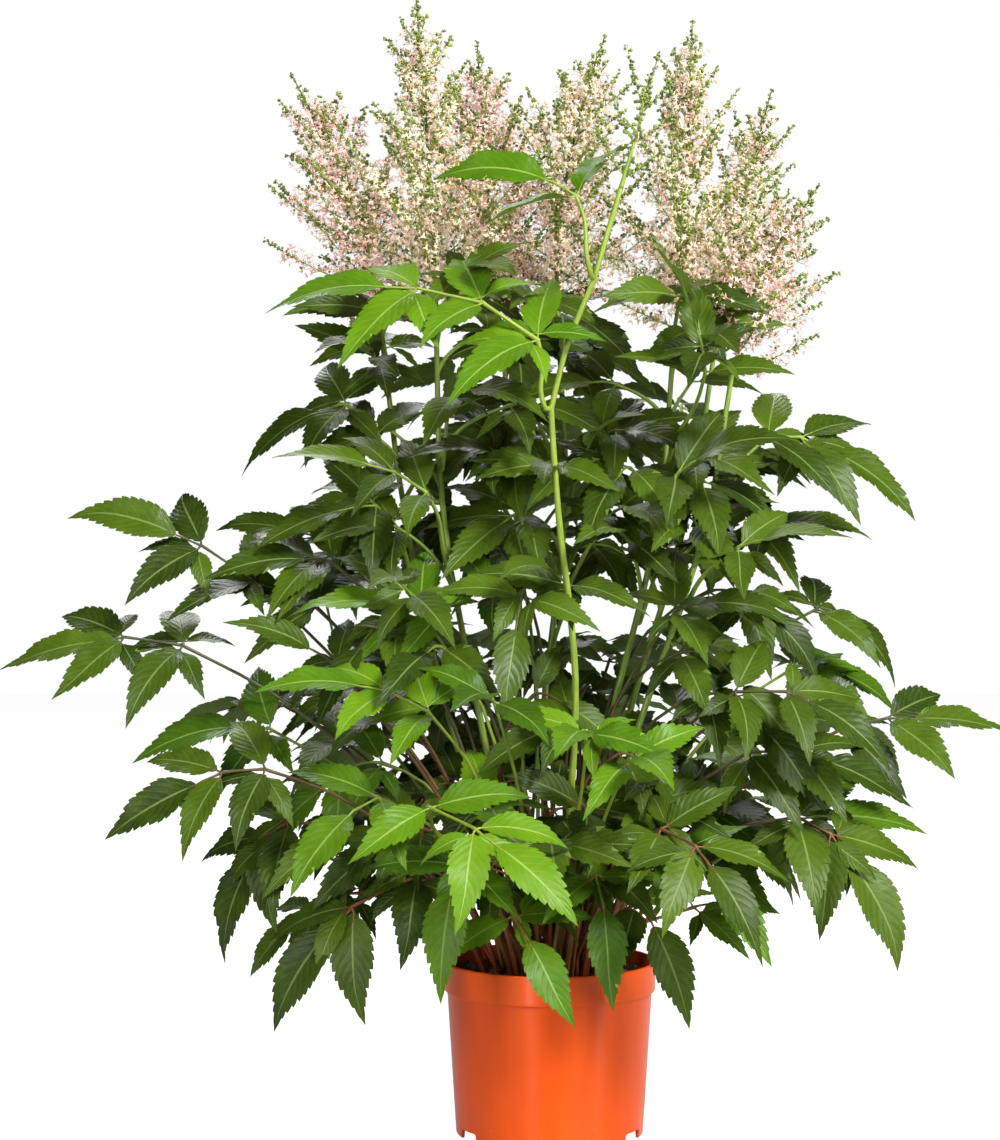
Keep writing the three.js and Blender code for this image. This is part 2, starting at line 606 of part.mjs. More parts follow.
function leafSkin({ start, launch, head, tip, pairs, low, blade, facing }, seed, swell) {
  const random = drawer(seed);
  const skin = new Skin();
  const { petiole, rachis } = leafRoute(start, launch, head, tip, blade);
  const reach = petiole.getLength();
  const total = reach + rachis.getLength();
  const step = (total - reach - END_STALK * blade) / Math.max(pairs - 1, 1);
  const joints = Array.from({ length: pairs }, (_, index) => {
    const spread = mix(PAIR_SPREAD[0], PAIR_SPREAD[1], index / Math.max(pairs - 1, 1));
    return { distance: reach + index * step, spread };
  });
  const footSide = new THREE.Vector3().crossVectors(UP, head.clone().sub(start)).normalize();
  const headSide = frameAlong(petiole.getTangentAt(1), facing).side;
  const spot = (distance) => {
    if (distance > reach) {
      const place = (distance - reach) / (total - reach);
      return { point: rachis.getPointAt(place), frame: frameAlong(rachis.getTangentAt(place), facing) };
    }
    const place = distance / reach;
    const along = petiole.getTangentAt(place);
    const top = along.clone().cross(footSide.clone().lerp(headSide, place)).normalize();
    return { point: petiole.getPointAt(place), frame: { along, side: top.clone().cross(along), top } };
  };
  const ringAt = (distance, shift = 0) => {
    const { point, frame } = spot(distance);
    const radius = mix(STALK_RADIUS[0], STALK_RADIUS[1], distance / total) + 2 * swell;
    return skin.ring(offset(point, frame, shift, 0, 0), frame, radius, 3);
  };
  const archOf = () => BLADE_ARCH + BLADE_ARCH_SPREAD * random();

  let ring = ringAt(0, -swell);
  skin.capBelow(ring);
  const growTo = (distance) => {
    const next = ringAt(distance);
    const walls = skin.walls(ring, next);
    ring = next;
    return walls;
  };
  const plain = reach > PETIOLE_LONG ? PETIOLE_BENDS.long : PETIOLE_BENDS.short;
  const bends = (low ? PETIOLE_BENDS.paired : plain).map((share) => ({ distance: share * reach }));
  const lowPair = low ? [{ distance: LOW_PAIR * reach, spread: PAIR_SPREAD[0] }] : [];
  const stations = [...bends, ...lowPair, ...joints];
  stations.sort((first, second) => first.distance - second.distance);
  stations.forEach((station) => {
    if (station.spread === undefined) {
      growTo(station.distance).forEach((wall) => skin.cap(wall));
      return;
    }
    growTo(station.distance - NODE_LENGTH / 2).forEach((wall) => skin.cap(wall));
    const [rightWall, lowerWall, leftWall] = growTo(station.distance + NODE_LENGTH / 2);
    skin.cap(lowerWall);
    const { frame } = spot(station.distance);
    [[leftWall, 1], [rightWall, -1]].forEach(([wall, sign]) => {
      const spread = radians(station.spread + VARIATION.spread * random());
      const aim = frame.along.clone().multiplyScalar(Math.cos(spread))
        .addScaledVector(frame.side, sign * Math.sin(spread))
        .addScaledVector(frame.top, VARIATION.lift * random())
        .addScaledVector(UP, VARIATION.droop * random() - LEAFLET_DROOP);
      const roll = radians(sign * PAIR_ROLL + VARIATION.roll * random());
      const leaflet = rolled(frameAlong(aim, facing), roll);
      const root = skin.centre(wall).addScaledVector(leaflet.along, LEAFLET_STALK);
      const length = blade * (LEAFLET_SIZE.side + VARIATION.size * random());
      growLeaflet(skin, wall, root, leaflet, length, archOf(), swell);
    });
  });
  growTo(total).forEach((wall) => skin.cap(wall));
  const { point, frame } = spot(total);
  const last = rolled(frame, radians(VARIATION.lastRoll * random()));
  const root = offset(point, frame, LEAFLET_STALK, 0, 0);
  growLeaflet(skin, ring, root, last, LEAFLET_SIZE.last * blade, archOf(), swell);
  return skin;
}

const TURN_TRIES = 160;
const TURN_LIMITS = { azimuth: 24, tilt: 15, roll: 26 };
const SEEDS = { stemLeaves: 40, crownLeaves: 80, turns: 500 };

// Turns a leaf a little about its foot until it passes clear of everything placed before it

function settleLeaf(name, spec, start, launch, pivot, seed, ownStem) {
  const random = drawer(seed + SEEDS.turns);
  const shape = {
    start: start.clone().sub(pivot),
    launch,
    head: vector(spec.head).sub(pivot),
    tip: vector(spec.tip).sub(pivot),
    pairs: spec.pairs,
    low: spec.low,
    blade: spec.blade,
    facing: facingOf(vector(spec.head)),
  };
  const outward = shape.head.clone().setZ(0).normalize();
  const sideways = new THREE.Vector3().crossVectors(UP, outward);
  const roomy = solidOf(leafSkin(shape, seed, MARGIN).geometry());
  const skin = leafSkin(shape, seed, 0);
  const exact = solidOf(skin.geometry());
  for (let attempt = 0; attempt < TURN_TRIES; attempt += 1) {
    const strength = attempt / TURN_TRIES;
    const part = (axis, limit) => {
      return new THREE.Quaternion().setFromAxisAngle(axis, radians(limit * strength * random()));
    };
    const pose = part(UP, TURN_LIMITS.azimuth)
      .multiply(part(sideways, TURN_LIMITS.tilt))
      .multiply(part(outward, TURN_LIMITS.roll));
    const matrix = new THREE.Matrix4().compose(pivot, pose, new THREE.Vector3(1, 1, 1));
    const room = roomy.transform(matrix.toArray());
    const solid = exact.transform(matrix.toArray());
    if (isClear(room, ownStem) && isClear(solid)) {
      remember(name, solid);
      return { skin, pose, matrix, room };
    }
  }
  throw new Error(`${name} finds no clear place`);
}

// ---------------------------------------------------------------------------
// Flower stems and plumes
// ---------------------------------------------------------------------------

// A stem as a row of rings; where a leaf joins it, one wall faces the leaf and the leaf grows from it
function stemSkin(route, leaves, swell) {
  const skin = new Skin();
  const length = route.getLength();
  const ringAt = (distance, shift, twist) => {
    const place = distance / length;
    const frame = frameAlong(route.getTangentAt(place), FRONT);
    const radius = mix(STEM_RADIUS[0], STEM_RADIUS[1], place) + 1.3 * swell;
    return skin.ring(offset(route.getPointAt(place), frame, shift, 0, 0), frame, radius, STEM_SIDES, twist);
  };
  const twistTo = ({ place, matrix, skin: leaf }) => {
    const frame = frameAlong(route.getTangentAt(place), FRONT);
    const toLeaf = leaf.points[0].clone().applyMatrix4(matrix).sub(route.getPointAt(place));
    const angle = Math.atan2(toLeaf.dot(frame.top), toLeaf.dot(frame.side));
    const wall = 360 / STEM_SIDES;
    const wanted = THREE.MathUtils.radToDeg(angle) - 90 - wall / 2;
    return wanted - wall * Math.round(wanted / wall);
  };
  const nodes = leaves.map((leaf) => ({ leaf, distance: leaf.place * length }));
  const stations = Array.from({ length: STEM_SEGMENTS - 1 }, (_, index) => {
    return { distance: ((index + 1) / STEM_SEGMENTS) * length };
  }).filter(({ distance }) => nodes.every((node) => Math.abs(node.distance - distance) > STEM_NODE_ROOM));
  let ring = ringAt(0, -swell, 0);
  skin.capBelow(ring);
  const growTo = (distance, twist) => {
    const next = ringAt(distance, 0, twist);
    const walls = skin.walls(ring, next);
    ring = next;
    return walls;
  };
  const order = [...nodes, ...stations].sort((first, second) => first.distance - second.distance);
  order.forEach(({ leaf, distance }) => {
    if (!leaf) {
      growTo(distance, 0).forEach((wall) => skin.cap(wall));
      return;
    }
    const twist = twistTo(leaf);
    growTo(distance - STEM_NODE / 2, twist).forEach((wall) => skin.cap(wall));
    const walls = growTo(distance + STEM_NODE / 2, twist);
    const foot = leaf.skin.points[0].clone().applyMatrix4(leaf.matrix);
    const far = (wall) => skin.centre(wall).distanceTo(foot);
    const nearest = walls.reduce((best, wall) => (far(wall) < far(best) ? wall : best));
    walls.filter((wall) => wall !== nearest).forEach((wall) => skin.cap(wall));
    skin.graft(nearest, leaf.skin, leaf.matrix);
  });
  growTo(length, 0).forEach((wall) => skin.cap(wall));
  skin.cap(ring);
  return skin;
}

const bloomSpace = [];             // round spots that stems and racemes fill, for later racemes

function fillSpace(owner, point, radius) {
  bloomSpace.push({ owner, point, radius });
}

function spotIsFree(point, radius, ignoreOwner) {
  return bloomSpace.every((spot) => {
    return spot.owner === ignoreOwner || spot.point.distanceTo(point) > spot.radius + radius + 2 * MARGIN;
  });
}

// Spots along a raceme: its bare neck, then for each cluster of florets the cluster and a waist
function racemeSpots(start, aim, length, lift, size) {
  const clusters = Math.max(Math.round((length - RACEME_NECK) / FLORET_PITCH), 1);
  const spotAt = (distance, radius) => {
    const sag = (lift * distance * distance) / length;
    return { point: start.clone().addScaledVector(aim, distance).addScaledVector(UP, sag), radius };
  };
  const spots = Array.from({ length: 2 * clusters }, (_, index) => {
    const place = (index + 1) / (2 * clusters);
    const width = size * mix(FLORET_RADIUS[0], FLORET_RADIUS[1], place);
    const distance = mix(RACEME_NECK, Math.max(length, RACEME_NECK + FLORET_PITCH), place);
    return spotAt(distance, index % 2 === 0 ? width : width * FLORET_WAIST);
  });
  return [spotAt(RACEME_NECK * NECK_END, NECK_RADIUS), ...spots];
}

function growRaceme(skin, loop, spots, start, reference) {
  let ring = loop;
  spots.slice(0, -1).forEach((spot, index) => {
    const before = index === 0 ? start : spots[index - 1].point;
    const frame = frameAlong(spots[index + 1].point.clone().sub(before), reference);
    const next = skin.ring(spot.point, frame, spot.radius, 3, 60 * (index % 2));
    skin.bridge(ring, next);
    ring = next;
  });
  skin.close(ring, skin.add(spots.at(-1).point));
}

function plumeSkin(owner, route, { reach }, seed) {
  const random = drawer(seed);
  const skin = new Skin();
  const length = route.getLength();
  const whorls = Math.max(Math.round(length / WHORL_STEP), 2);
  const ringAt = (distance) => {
    const place = distance / length;
    const frame = frameAlong(route.getTangentAt(place), FRONT);
    const radius = mix(PLUME_AXIS_RADIUS[0], PLUME_AXIS_RADIUS[1], place);
    const twist = 60 * Math.round((place * whorls) / WHORL_TURN);
    return skin.ring(route.getPointAt(place), frame, radius, 3, twist);
  };
  for (let distance = 0; distance < length; distance += AXIS_SPACE.step) {
    fillSpace(owner, route.getPointAt(distance / length), AXIS_SPACE.radius);
  }
  let ring = ringAt(0);
  skin.capBelow(ring);
  for (let whorl = 0; whorl < whorls; whorl += 1) {
    const share = whorl / whorls;
    const height = length * (WHORL_SPAN[0] + WHORL_SPAN[1] * share);
    const lower = ringAt(height);
    skin.bridge(ring, lower);
    ring = ringAt(height + WHORL_HEIGHT);
    const axis = route.getTangentAt(height / length);
    skin.walls(lower, ring).forEach((wall) => {
      const start = skin.centre(wall);
      const out = start.clone().sub(route.getPointAt((height + WHORL_HEIGHT / 2) / length)).normalize();
      const wish = reach * mix(1, RACEME_SHORTEST, share) * (1 + RACEME_VARIATION.reach * random());
      const rise = radians(RACEME_RISE[0] + RACEME_RISE[1] * share + RACEME_VARIATION.rise * random());
      const lift = RACEME_LIFT + RACEME_VARIATION.lift * random();
      const choice = SHRINK_STEPS.flatMap((shrink) => SWING_STEPS.map((swing) => {
        const away = out.clone().applyAxisAngle(axis, radians(swing));
        const aim = away.multiplyScalar(Math.cos(rise)).addScaledVector(axis, Math.sin(rise));
        return { aim, spots: racemeSpots(start, aim, wish * shrink, lift, mix(1, SPIRE_SIZE, share)) };
      })).find(({ spots }) => spots.every((spot, index) => {
        return spotIsFree(spot.point, spot.radius, index === 0 ? owner : undefined);
      }));
      if (choice) {
        choice.spots.forEach((spot) => fillSpace(owner, spot.point, spot.radius));
        growRaceme(skin, wall, choice.spots, start, axis);
      } else {
        skin.cap(wall);
      }
    });
  }
  const top = length * (WHORL_SPAN[0] + WHORL_SPAN[1] * ((whorls - 1) / whorls)) + WHORL_HEIGHT;
  const start = route.getPointAt(top / length);
  const spire = route.getPointAt(1).sub(start);
  const spots = racemeSpots(start, spire.clone().normalize(), spire.length(), 0, SPIRE_SIZE);
  growRaceme(skin, ring, spots, start, FRONT);
  spots.forEach((spot) => fillSpace(owner, spot.point, spot.radius));
  return skin;
}

// ---------------------------------------------------------------------------
// The plant
// ---------------------------------------------------------------------------

const plant = new THREE.Group();

function addMesh(name, geometry, material) {
  const mesh = new THREE.Mesh(geometry, material);
  mesh.name = name;
  plant.add(mesh);
  return mesh;
}

function finish(color, roughness) {
  return new THREE.MeshStandardMaterial({ color, roughness, metalness: 0 });
}

const pot = makePot();
remember("pot", pot);
addMesh("pot", geometryOf(pot), finish("#e8571c", 0.35));

const crownWish = ({ head }) => {
  const steepness = (head[2] - SOIL_EDGE) / Math.hypot(head[0], head[1]);
  const radius = THREE.MathUtils.clamp(CROWN_FLAT - CROWN_SHRINK * steepness, ...CROWN_RADIUS);
  const angle = Math.atan2(head[1], head[0]);
  return [radius * Math.cos(angle), radius * Math.sin(angle)];
};
const stemWish = ({ bends }) => [bends.at(-1)[0] * STEM_LEAN[0], bends.at(-1)[1] * STEM_LEAN[1]];
const roots = spreadRoots([...FLOWERS.map(stemWish), ...CROWN_LEAVES.map(crownWish)]);
const holes = [];

const stemRoutes = FLOWERS.map(({ bends, foot }, index) => {
  return new THREE.CatmullRomCurve3([roots[index], ...bends.map(vector), vector(foot)], false, "centripetal");
});

stemRoutes.forEach((route, index) => {
  const name = `flower_stem_${index + 1}`;
  if (!isClear(solidOf(stemSkin(route, [], MARGIN).geometry()))) {
    throw new Error(`${name} crosses another stem`);
  }
  remember(name, solidOf(stemSkin(route, [], 0).geometry()));
  holes.push(solidOf(stemSkin(route, [], CLEARANCE).geometry()));
  for (let place = 0; place <= 1; place += 0.01) {
    fillSpace(name, route.getPointAt(place), STEM_RADIUS[0]);
  }
});

stemRoutes.forEach((route, index) => {
  const flower = FLOWERS[index];
  const name = `plume_${index + 1}`;
  const direction = route.getTangentAt(1);
  const foot = route.getPointAt(1).addScaledVector(direction, CLEARANCE);
  const tip = vector(flower.tip);
  const bend = foot.clone().addScaledVector(direction, PLUME_BEND * foot.distanceTo(tip));
  const axis = new THREE.QuadraticBezierCurve3(foot, bend, tip);
  const skin = plumeSkin(name, axis, flower, index + 1);
  remember(name, solidOf(skin.geometry()));
  addMesh(name, skin.geometry(), finish(TONES[flower.tone], 0.8));
});

const stemLeaves = STEM_LEAVES.map((spec, index) => {
  const route = stemRoutes[spec.stem - 1];
  const foot = roots[spec.stem - 1].z;
  const place = (spec.height - foot) / (FLOWERS[spec.stem - 1].foot[2] - foot);
  const pivot = route.getPointAt(place);
  const outward = vector(spec.head).sub(pivot).setZ(0).normalize();
  const start = pivot.clone().addScaledVector(outward, STEM_RADIUS[0] + STALK_RADIUS[0]);
  const launch = outward.multiplyScalar(STEM_LEAF_LEAN).add(UP).normalize();
  const ownStem = `flower_stem_${spec.stem}`;
  const name = `leaf ${index + 1} of ${ownStem}`;
  const settled = settleLeaf(name, spec, start, launch, pivot, SEEDS.stemLeaves + index, ownStem);
  return { ...settled, place, stem: spec.stem };
});

stemRoutes.forEach((route, index) => {
  const leaves = stemLeaves.filter(({ stem }) => stem === index + 1);
  const tone = index === YOUNG_STEM ? TONES.bright : TONES.dark;
  addMesh(`flower_stem_${index + 1}`, stemSkin(route, leaves, 0).geometry(), finish(tone, 0.45));
});

CROWN_LEAVES.forEach((spec, index) => {
  const root = roots[FLOWERS.length + index];
  const launch = vector(spec.head).sub(root).normalize().multiplyScalar(PETIOLE_LEAN).add(UP).normalize();
  const name = `leaf_${index + 1}`;
  const { skin, pose, room } = settleLeaf(name, spec, root, launch, root, SEEDS.crownLeaves + index);
  const mesh = addMesh(name, skin.geometry(), finish(TONES[spec.tone], 0.45));
  mesh.position.copy(root);
  mesh.quaternion.copy(pose);
  holes.push(room);
});

let soil = makeSoil();
holes.forEach((hole) => {
  soil = soil.subtract(hole);
});
addMesh("soil", geometryOf(soil), finish("#3a2418", 0.95));

export default plant;
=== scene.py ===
import json
import math
from functools import partial

import bmesh
import bpy
import numpy as np
from mathutils import Matrix, Vector, kdtree
from numpy.linalg import norm


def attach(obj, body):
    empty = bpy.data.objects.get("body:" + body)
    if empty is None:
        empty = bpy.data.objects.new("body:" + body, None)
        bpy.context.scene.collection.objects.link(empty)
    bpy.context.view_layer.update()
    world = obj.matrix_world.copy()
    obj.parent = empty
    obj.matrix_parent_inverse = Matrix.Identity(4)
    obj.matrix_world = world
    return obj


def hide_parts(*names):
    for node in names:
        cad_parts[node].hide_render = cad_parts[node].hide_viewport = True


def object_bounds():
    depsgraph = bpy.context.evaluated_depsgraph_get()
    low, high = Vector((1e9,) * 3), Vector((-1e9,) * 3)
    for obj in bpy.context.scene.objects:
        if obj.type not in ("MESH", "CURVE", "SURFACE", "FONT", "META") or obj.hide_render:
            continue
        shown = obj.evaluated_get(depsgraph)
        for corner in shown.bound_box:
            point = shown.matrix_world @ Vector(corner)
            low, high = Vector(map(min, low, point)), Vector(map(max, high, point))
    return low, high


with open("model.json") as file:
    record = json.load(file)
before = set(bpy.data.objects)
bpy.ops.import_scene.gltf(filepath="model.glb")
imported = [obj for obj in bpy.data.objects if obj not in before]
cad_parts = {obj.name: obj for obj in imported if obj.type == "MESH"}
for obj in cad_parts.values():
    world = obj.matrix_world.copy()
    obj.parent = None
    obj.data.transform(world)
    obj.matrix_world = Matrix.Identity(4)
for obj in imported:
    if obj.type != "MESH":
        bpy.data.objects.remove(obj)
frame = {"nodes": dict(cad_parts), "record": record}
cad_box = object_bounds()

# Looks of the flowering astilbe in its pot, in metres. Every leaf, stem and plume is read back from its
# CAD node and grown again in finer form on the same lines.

MM = 0.001
TURN = 2 * math.pi
GOLDEN_ANGLE = 2.399               # from one leaf or raceme round a stem to the next
UP = np.array([0.0, 0.0, 1.0])
FRONT = np.array([0.0, -1.0, 0.0])
CROWN = UP * 0.1                   # in the soil, where the stalks of the further leaves start
RIB_GAP = 1.2 * MM                 # between the two faces of a CAD leaflet, along its midrib
CROWN_LEAVES, STEMS = 42, 8        # CAD nodes, each stem with its plume
LEAF_CREASE = 75                   # degrees from which on an edge of a leaf is sharp
# Places among the materials of a leaf and of a plume
BLADE_SLOT, STALK_SLOT = 0, 1
PETAL_SLOT, PEDICEL_SLOT, BUD_SLOT, AXIS_SLOT = 0, 1, 2, 3

# Small helpers


def unit(v):
    v = np.asarray(v, float)
    return v / np.maximum(norm(v, axis=-1, keepdims=True), 1e-12)


def turn(v, axis, angle):
    """One vector turned about an axis."""
    axis, cos, sin = unit(axis), math.cos(angle), math.sin(angle)
    return v * cos + np.cross(axis, v) * sin + axis * (axis @ v) * (1 - cos)


def flat(angle):
    """The level heading at an angle."""
    return np.array([math.cos(angle), math.sin(angle), 0])


def blend(a, b, t):
    return a + (b - a) * t


def steps_round(count):
    """Angles in equal steps round a full turn."""
    return np.arange(count) / count * TURN


def distances(path):
    """How far along a path each of its points lies."""
    return np.concatenate([[0], np.cumsum(norm(np.diff(path, axis=0), axis=1))])


def length_of(line):
    return distances(line[:, :3])[-1]


def smooth_path(points, steps):
    """Catmull-Rom points through a row of points, with the values that ride along in further columns."""
    p = np.asarray(points, float)
    p = np.vstack([2 * p[0] - p[1], p, 2 * p[-1] - p[-2]])
    rows = []
    for i in range(1, len(p) - 2):
        for t in np.arange(steps) / steps:
            a, b, c, d = p[i - 1:i + 3]
            rows.append(0.5 * (2 * b + (c - a) * t + (2 * a - 5 * b + 4 * c - d) * t ** 2
                               + (3 * b - a - 3 * c + d) * t ** 3))
    rows.append(p[-2])
    return np.array(rows)


def bezier(points, t):
    """Points at t on the curve of three or four control points."""
    t, n = np.asarray(t)[:, None], len(points) - 1
    return sum(math.comb(n, k) * p * t ** k * (1 - t) ** (n - k) for k, p in enumerate(points))


def frames_along(path, reference):
    """Side and top at each point, carried along the path without twist."""
    tangent = unit(np.gradient(path, axis=0))
    side = np.cross(reference, tangent[0])
    if norm(side) < 1e-6:
        side = np.cross(FRONT, tangent[0])
    sides = []
    for t in tangent:
        side = unit(side - t * (side @ t))
        sides.append(side)
    sides = np.array(sides)
    return sides, np.cross(tangent, sides)


def axes_across(aims):
    """Two directions for each aim, square to it and to each other."""
    helper = np.where(np.abs(aims[:, 2:3]) > 0.9, (1.0, 0, 0), UP)
    x = unit(np.cross(helper, aims))
    return x, np.cross(aims, x)


def skin_faces(rows, sides):
    """Faces of a closed skin over rows of points, each row a ring."""
    i, j = np.meshgrid(np.arange(rows - 1) * sides, np.arange(sides), indexing="ij")
    k = (j + 1) % sides
    quads = np.stack([i + j, i + k, i + sides + k, i + sides + j], -1).reshape(-1, 4)
    ring = np.arange(sides)
    return [quads, ring[::-1][None], ((rows - 1) * sides + ring)[None]]


def look_of(across, along, seed):
    """The look of points, from numbers, rows and columns that fit together."""
    return np.stack(np.broadcast_arrays(across, along, seed), -1)


def link(name, data):
    """A new object of the scene with that data."""
    made = bpy.data.objects.new(name, data)
    bpy.context.scene.collection.objects.link(made)
    return made


def mesh_of(work, name):
    """The finished mesh of a bmesh."""
    mesh = bpy.data.meshes.new(name)
    work.to_mesh(mesh)
    work.free()
    return mesh


def add_piece(name, mesh, materials, nodes, sharp):
    """A smooth piece that rides the root, in place of CAD nodes where it names any."""
    mesh.shade_smooth()
    if sharp:
        mesh.set_sharp_from_angle(angle=math.radians(sharp))
    for material in materials:
        mesh.materials.append(material)
    piece = link(name, mesh)
    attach(piece, "root")
    if nodes:
        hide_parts(*nodes)


class Shape:
    """A mesh that grows part by part, with the numbers that its materials read.
    look is (across or around, along, seed) at each point, and under is 1 on the lower face of a leaf."""

    def __init__(self):
        self.points, self.look, self.faces, self.slots, self.under, self.count = [], [], [], [], [], 0

    def add(self, points, look, groups, slot=0, under=()):
        """Points with their look, and groups of faces among them, with under for each group."""
        self.points.append(points.reshape(-1, 3))
        self.look.append(look.reshape(-1, 3))
        for k, faces in enumerate(groups):
            self.faces.append(faces + self.count)
            self.slots.append(np.full(len(faces), slot))
            self.under.append(np.full(len(faces), under[k] if under else 0.0))
        self.count += len(self.points[-1])

    def make(self, name, materials, nodes=(), sharp=None):
        points, look = np.concatenate(self.points), np.concatenate(self.look)
        sizes = np.concatenate([np.full(len(f), f.shape[1]) for f in self.faces])
        starts = np.concatenate([[0], np.cumsum(sizes)[:-1]])
        corners = np.concatenate([f.ravel() for f in self.faces])
        mesh = bpy.data.meshes.new(name)
        mesh.vertices.add(len(points))
        mesh.vertices.foreach_set("co", points.ravel())
        mesh.loops.add(len(corners))
        mesh.loops.foreach_set("vertex_index", corners.astype(np.int32))
        mesh.polygons.add(len(sizes))
        mesh.polygons.foreach_set("loop_start", starts.astype(np.int32))
        mesh.polygons.foreach_set("material_index", np.concatenate(self.slots).astype(np.int32))
        mesh.update(calc_edges=True)
        mesh.attributes.new("look", "FLOAT_VECTOR", "POINT").data.foreach_set("vector", look.ravel())
        under = mesh.attributes.new("under", "FLOAT", "FACE")
        under.data.foreach_set("value", np.concatenate(self.under).astype(np.float32))
        add_piece(name, mesh, materials, nodes, sharp)


def tube(shape, path, radii, sides, seed, slot=0, reference=UP, flute=0.0):
    """A round stalk along a path, or a fluted one. Its look is (around, distance from its start, seed)."""
    side, top = frames_along(path, reference)
    angle = steps_round(sides)
    swell = 1 + flute * np.cos(angle * 5)
    ring = side[:, None] * np.cos(angle)[None, :, None] + top[:, None] * np.sin(angle)[None, :, None]
    points = path[:, None] + ring * (radii[:, None] * swell)[:, :, None]
    look = look_of(angle / TURN, distances(path)[:, None], seed)
    shape.add(points, look, skin_faces(len(path), sides), slot)


# Reading the CAD nodes


def net_of(node):
    """Places of a node's corners and the corners next to each, with doubles merged."""
    work = bmesh.new()
    work.from_mesh(frame["nodes"][node].data)
    bmesh.ops.remove_doubles(work, verts=work.verts, dist=1e-5)
    work.verts.index_update()
    places = np.array([corner.co[:] for corner in work.verts])
    near = [{edge.other_vert(corner).index for edge in corner.link_edges} for corner in work.verts]
    work.free()
    return places, near


def rib_partners(places):
    """For each corner on a leaflet's midrib the one across from it, on the leaflet's other face."""
    tree = kdtree.KDTree(len(places))
    for index, place in enumerate(places):
        tree.insert(Vector(place), index)
    tree.balance()
    partner = {}
    for index, place in enumerate(places):
        for _, other, gap in tree.find_range(Vector(place), RIB_GAP * 1.02):
            if other != index and abs(gap - RIB_GAP) < 1e-5:
                partner[index] = other
    return partner


def read_blade(places, near, partner, tip, ribs, edges):
    """The lines of one leaflet, as a parabola P(t) = a + b t + c t² along its midrib, t from 0 to 1.
    The CAD leaflet has a pair of rib corners at t = 0 and one at t = 0.5, and its tip at t = 1."""
    own = {tip, *ribs}
    root_ribs = [next(v for v in near[rib] if v in partner and v not in own) for rib in ribs]
    own.update(root_ribs)
    start, halfway = places[root_ribs].mean(axis=0), places[ribs].mean(axis=0)
    lines = []
    for edge in edges:
        line = [edge]
        own.add(edge)
        while norm(places[line[-1]] - start) > 0.95 * MM:
            onward = [v for v in near[line[-1]] if v not in own]
            line.append(onward[0])
            own.add(onward[0])
        lines.append(line)
    root = {*root_ribs, lines[0][-1], lines[1][-1]}
    joint = {v for corner in root for v in near[corner]} - own
    b, c = np.linalg.solve(np.array([[0.5, 0.25], [1.0, 1.0]]), np.array([halfway, places[tip]]) - start)
    edge_points = [places[line[:-1]] for line in lines]
    side = unit(edge_points[0].mean(axis=0) - edge_points[1].mean(axis=0))
    # The ribs of the upper face lie nearer to the edges than those of the lower
    first, second = (places[[root_ribs[k], ribs[k]]] for k in (0, 1))
    every = np.concatenate(edge_points)
    gaps = [norm(every[:, None] - rib[None], axis=-1).sum() for rib in (first, second)]
    top = unit((first - second).mean(axis=0)) * (1 if gaps[0] < gaps[1] else -1)
    if np.cross(unit(b), side) @ top < 0:
        side = -side
    length = math.sqrt(max(b @ b - (b @ unit(c)) ** 2, 1e-9))
    width = max(abs((p - start) @ side) for p in every)
    return {"a": start, "b": b, "c": c, "side": side, "top": top, "length": length, "width": width,
            "own": own, "joint": joint, "last": len(joint) == 3}


def blades_of(places, near):
    """The leaflets of a node. A leaflet's tip has four neighbours: a rib pair, and an edge on each side."""
    partner = rib_partners(places)
    blades = []
    for tip, others in enumerate(near):
        ribs = [v for v in others if v in partner]
        edges = [v for v in others if v not in partner]
        if len(others) != 4 or len(ribs) != 2 or partner[ribs[0]] != ribs[1]:
            continue
        first, second = places[edges[0]] - places[tip], places[edges[1]] - places[tip]
        if first @ second > 0.5 * norm(first) * norm(second):
            blades.append(read_blade(places, near, partner, tip, ribs, edges))
    return blades


def ring_of(places, ring):
    """The centre and radius of a ring of corners."""
    ring = sorted(ring)
    centre = places[ring].mean(axis=0)
    return [*centre, norm(places[ring] - centre, axis=1).mean()]


def walk(near, ring, seen, size):
    """Rings of one size from a first ring on, until the next set of neighbours is no such ring."""
    rings = [set(ring)]
    seen.update(ring)
    while True:
        onward = {v for corner in rings[-1] for v in near[corner]} - seen
        if len(onward) != size:
            return rings, onward
        rings.append(onward)
        seen.update(onward)


def fronds_of(node):
    """The leaves in a node, each {"stalk": rows of (x, y, z, radius) from the foot, "blades", "foot"},
    between the node's net and the corners left over."""
    places, near = net_of(node)
    blades = blades_of(places, near)
    seen = set().union(*[blade["own"] for blade in blades])
    fronds = []
    for last in [blade for blade in blades if blade["last"]]:
        rings, onward = walk(near, last["joint"], seen, 3)
        corners = set().union(*rings)
        mine = [blade for blade in blades if blade is last or blade["joint"] <= corners]
        for blade in mine:
            blade["knot"] = places[sorted(blade["joint"])].mean(axis=0)
        stalk = np.array([ring_of(places, ring) for ring in reversed(rings)])
        foot = places[sorted(onward)].mean(axis=0) if onward else None
        fronds.append({"stalk": stalk, "blades": mine, "foot": foot})
    return places, near, fronds, [v for v in range(len(places)) if v not in seen]


def stem_of(node):
    """The line of a flower stem, as rows of (x, y, z, radius) from the foot, and its leaves."""
    places, near, fronds, rest = fronds_of(node)
    low = sorted(rest, key=lambda v: places[v][2])[:5]
    seen = set(range(len(places))) - set(rest)
    rings, _ = walk(near, low, seen, 5)
    return np.array([ring_of(places, ring) for ring in rings]), fronds


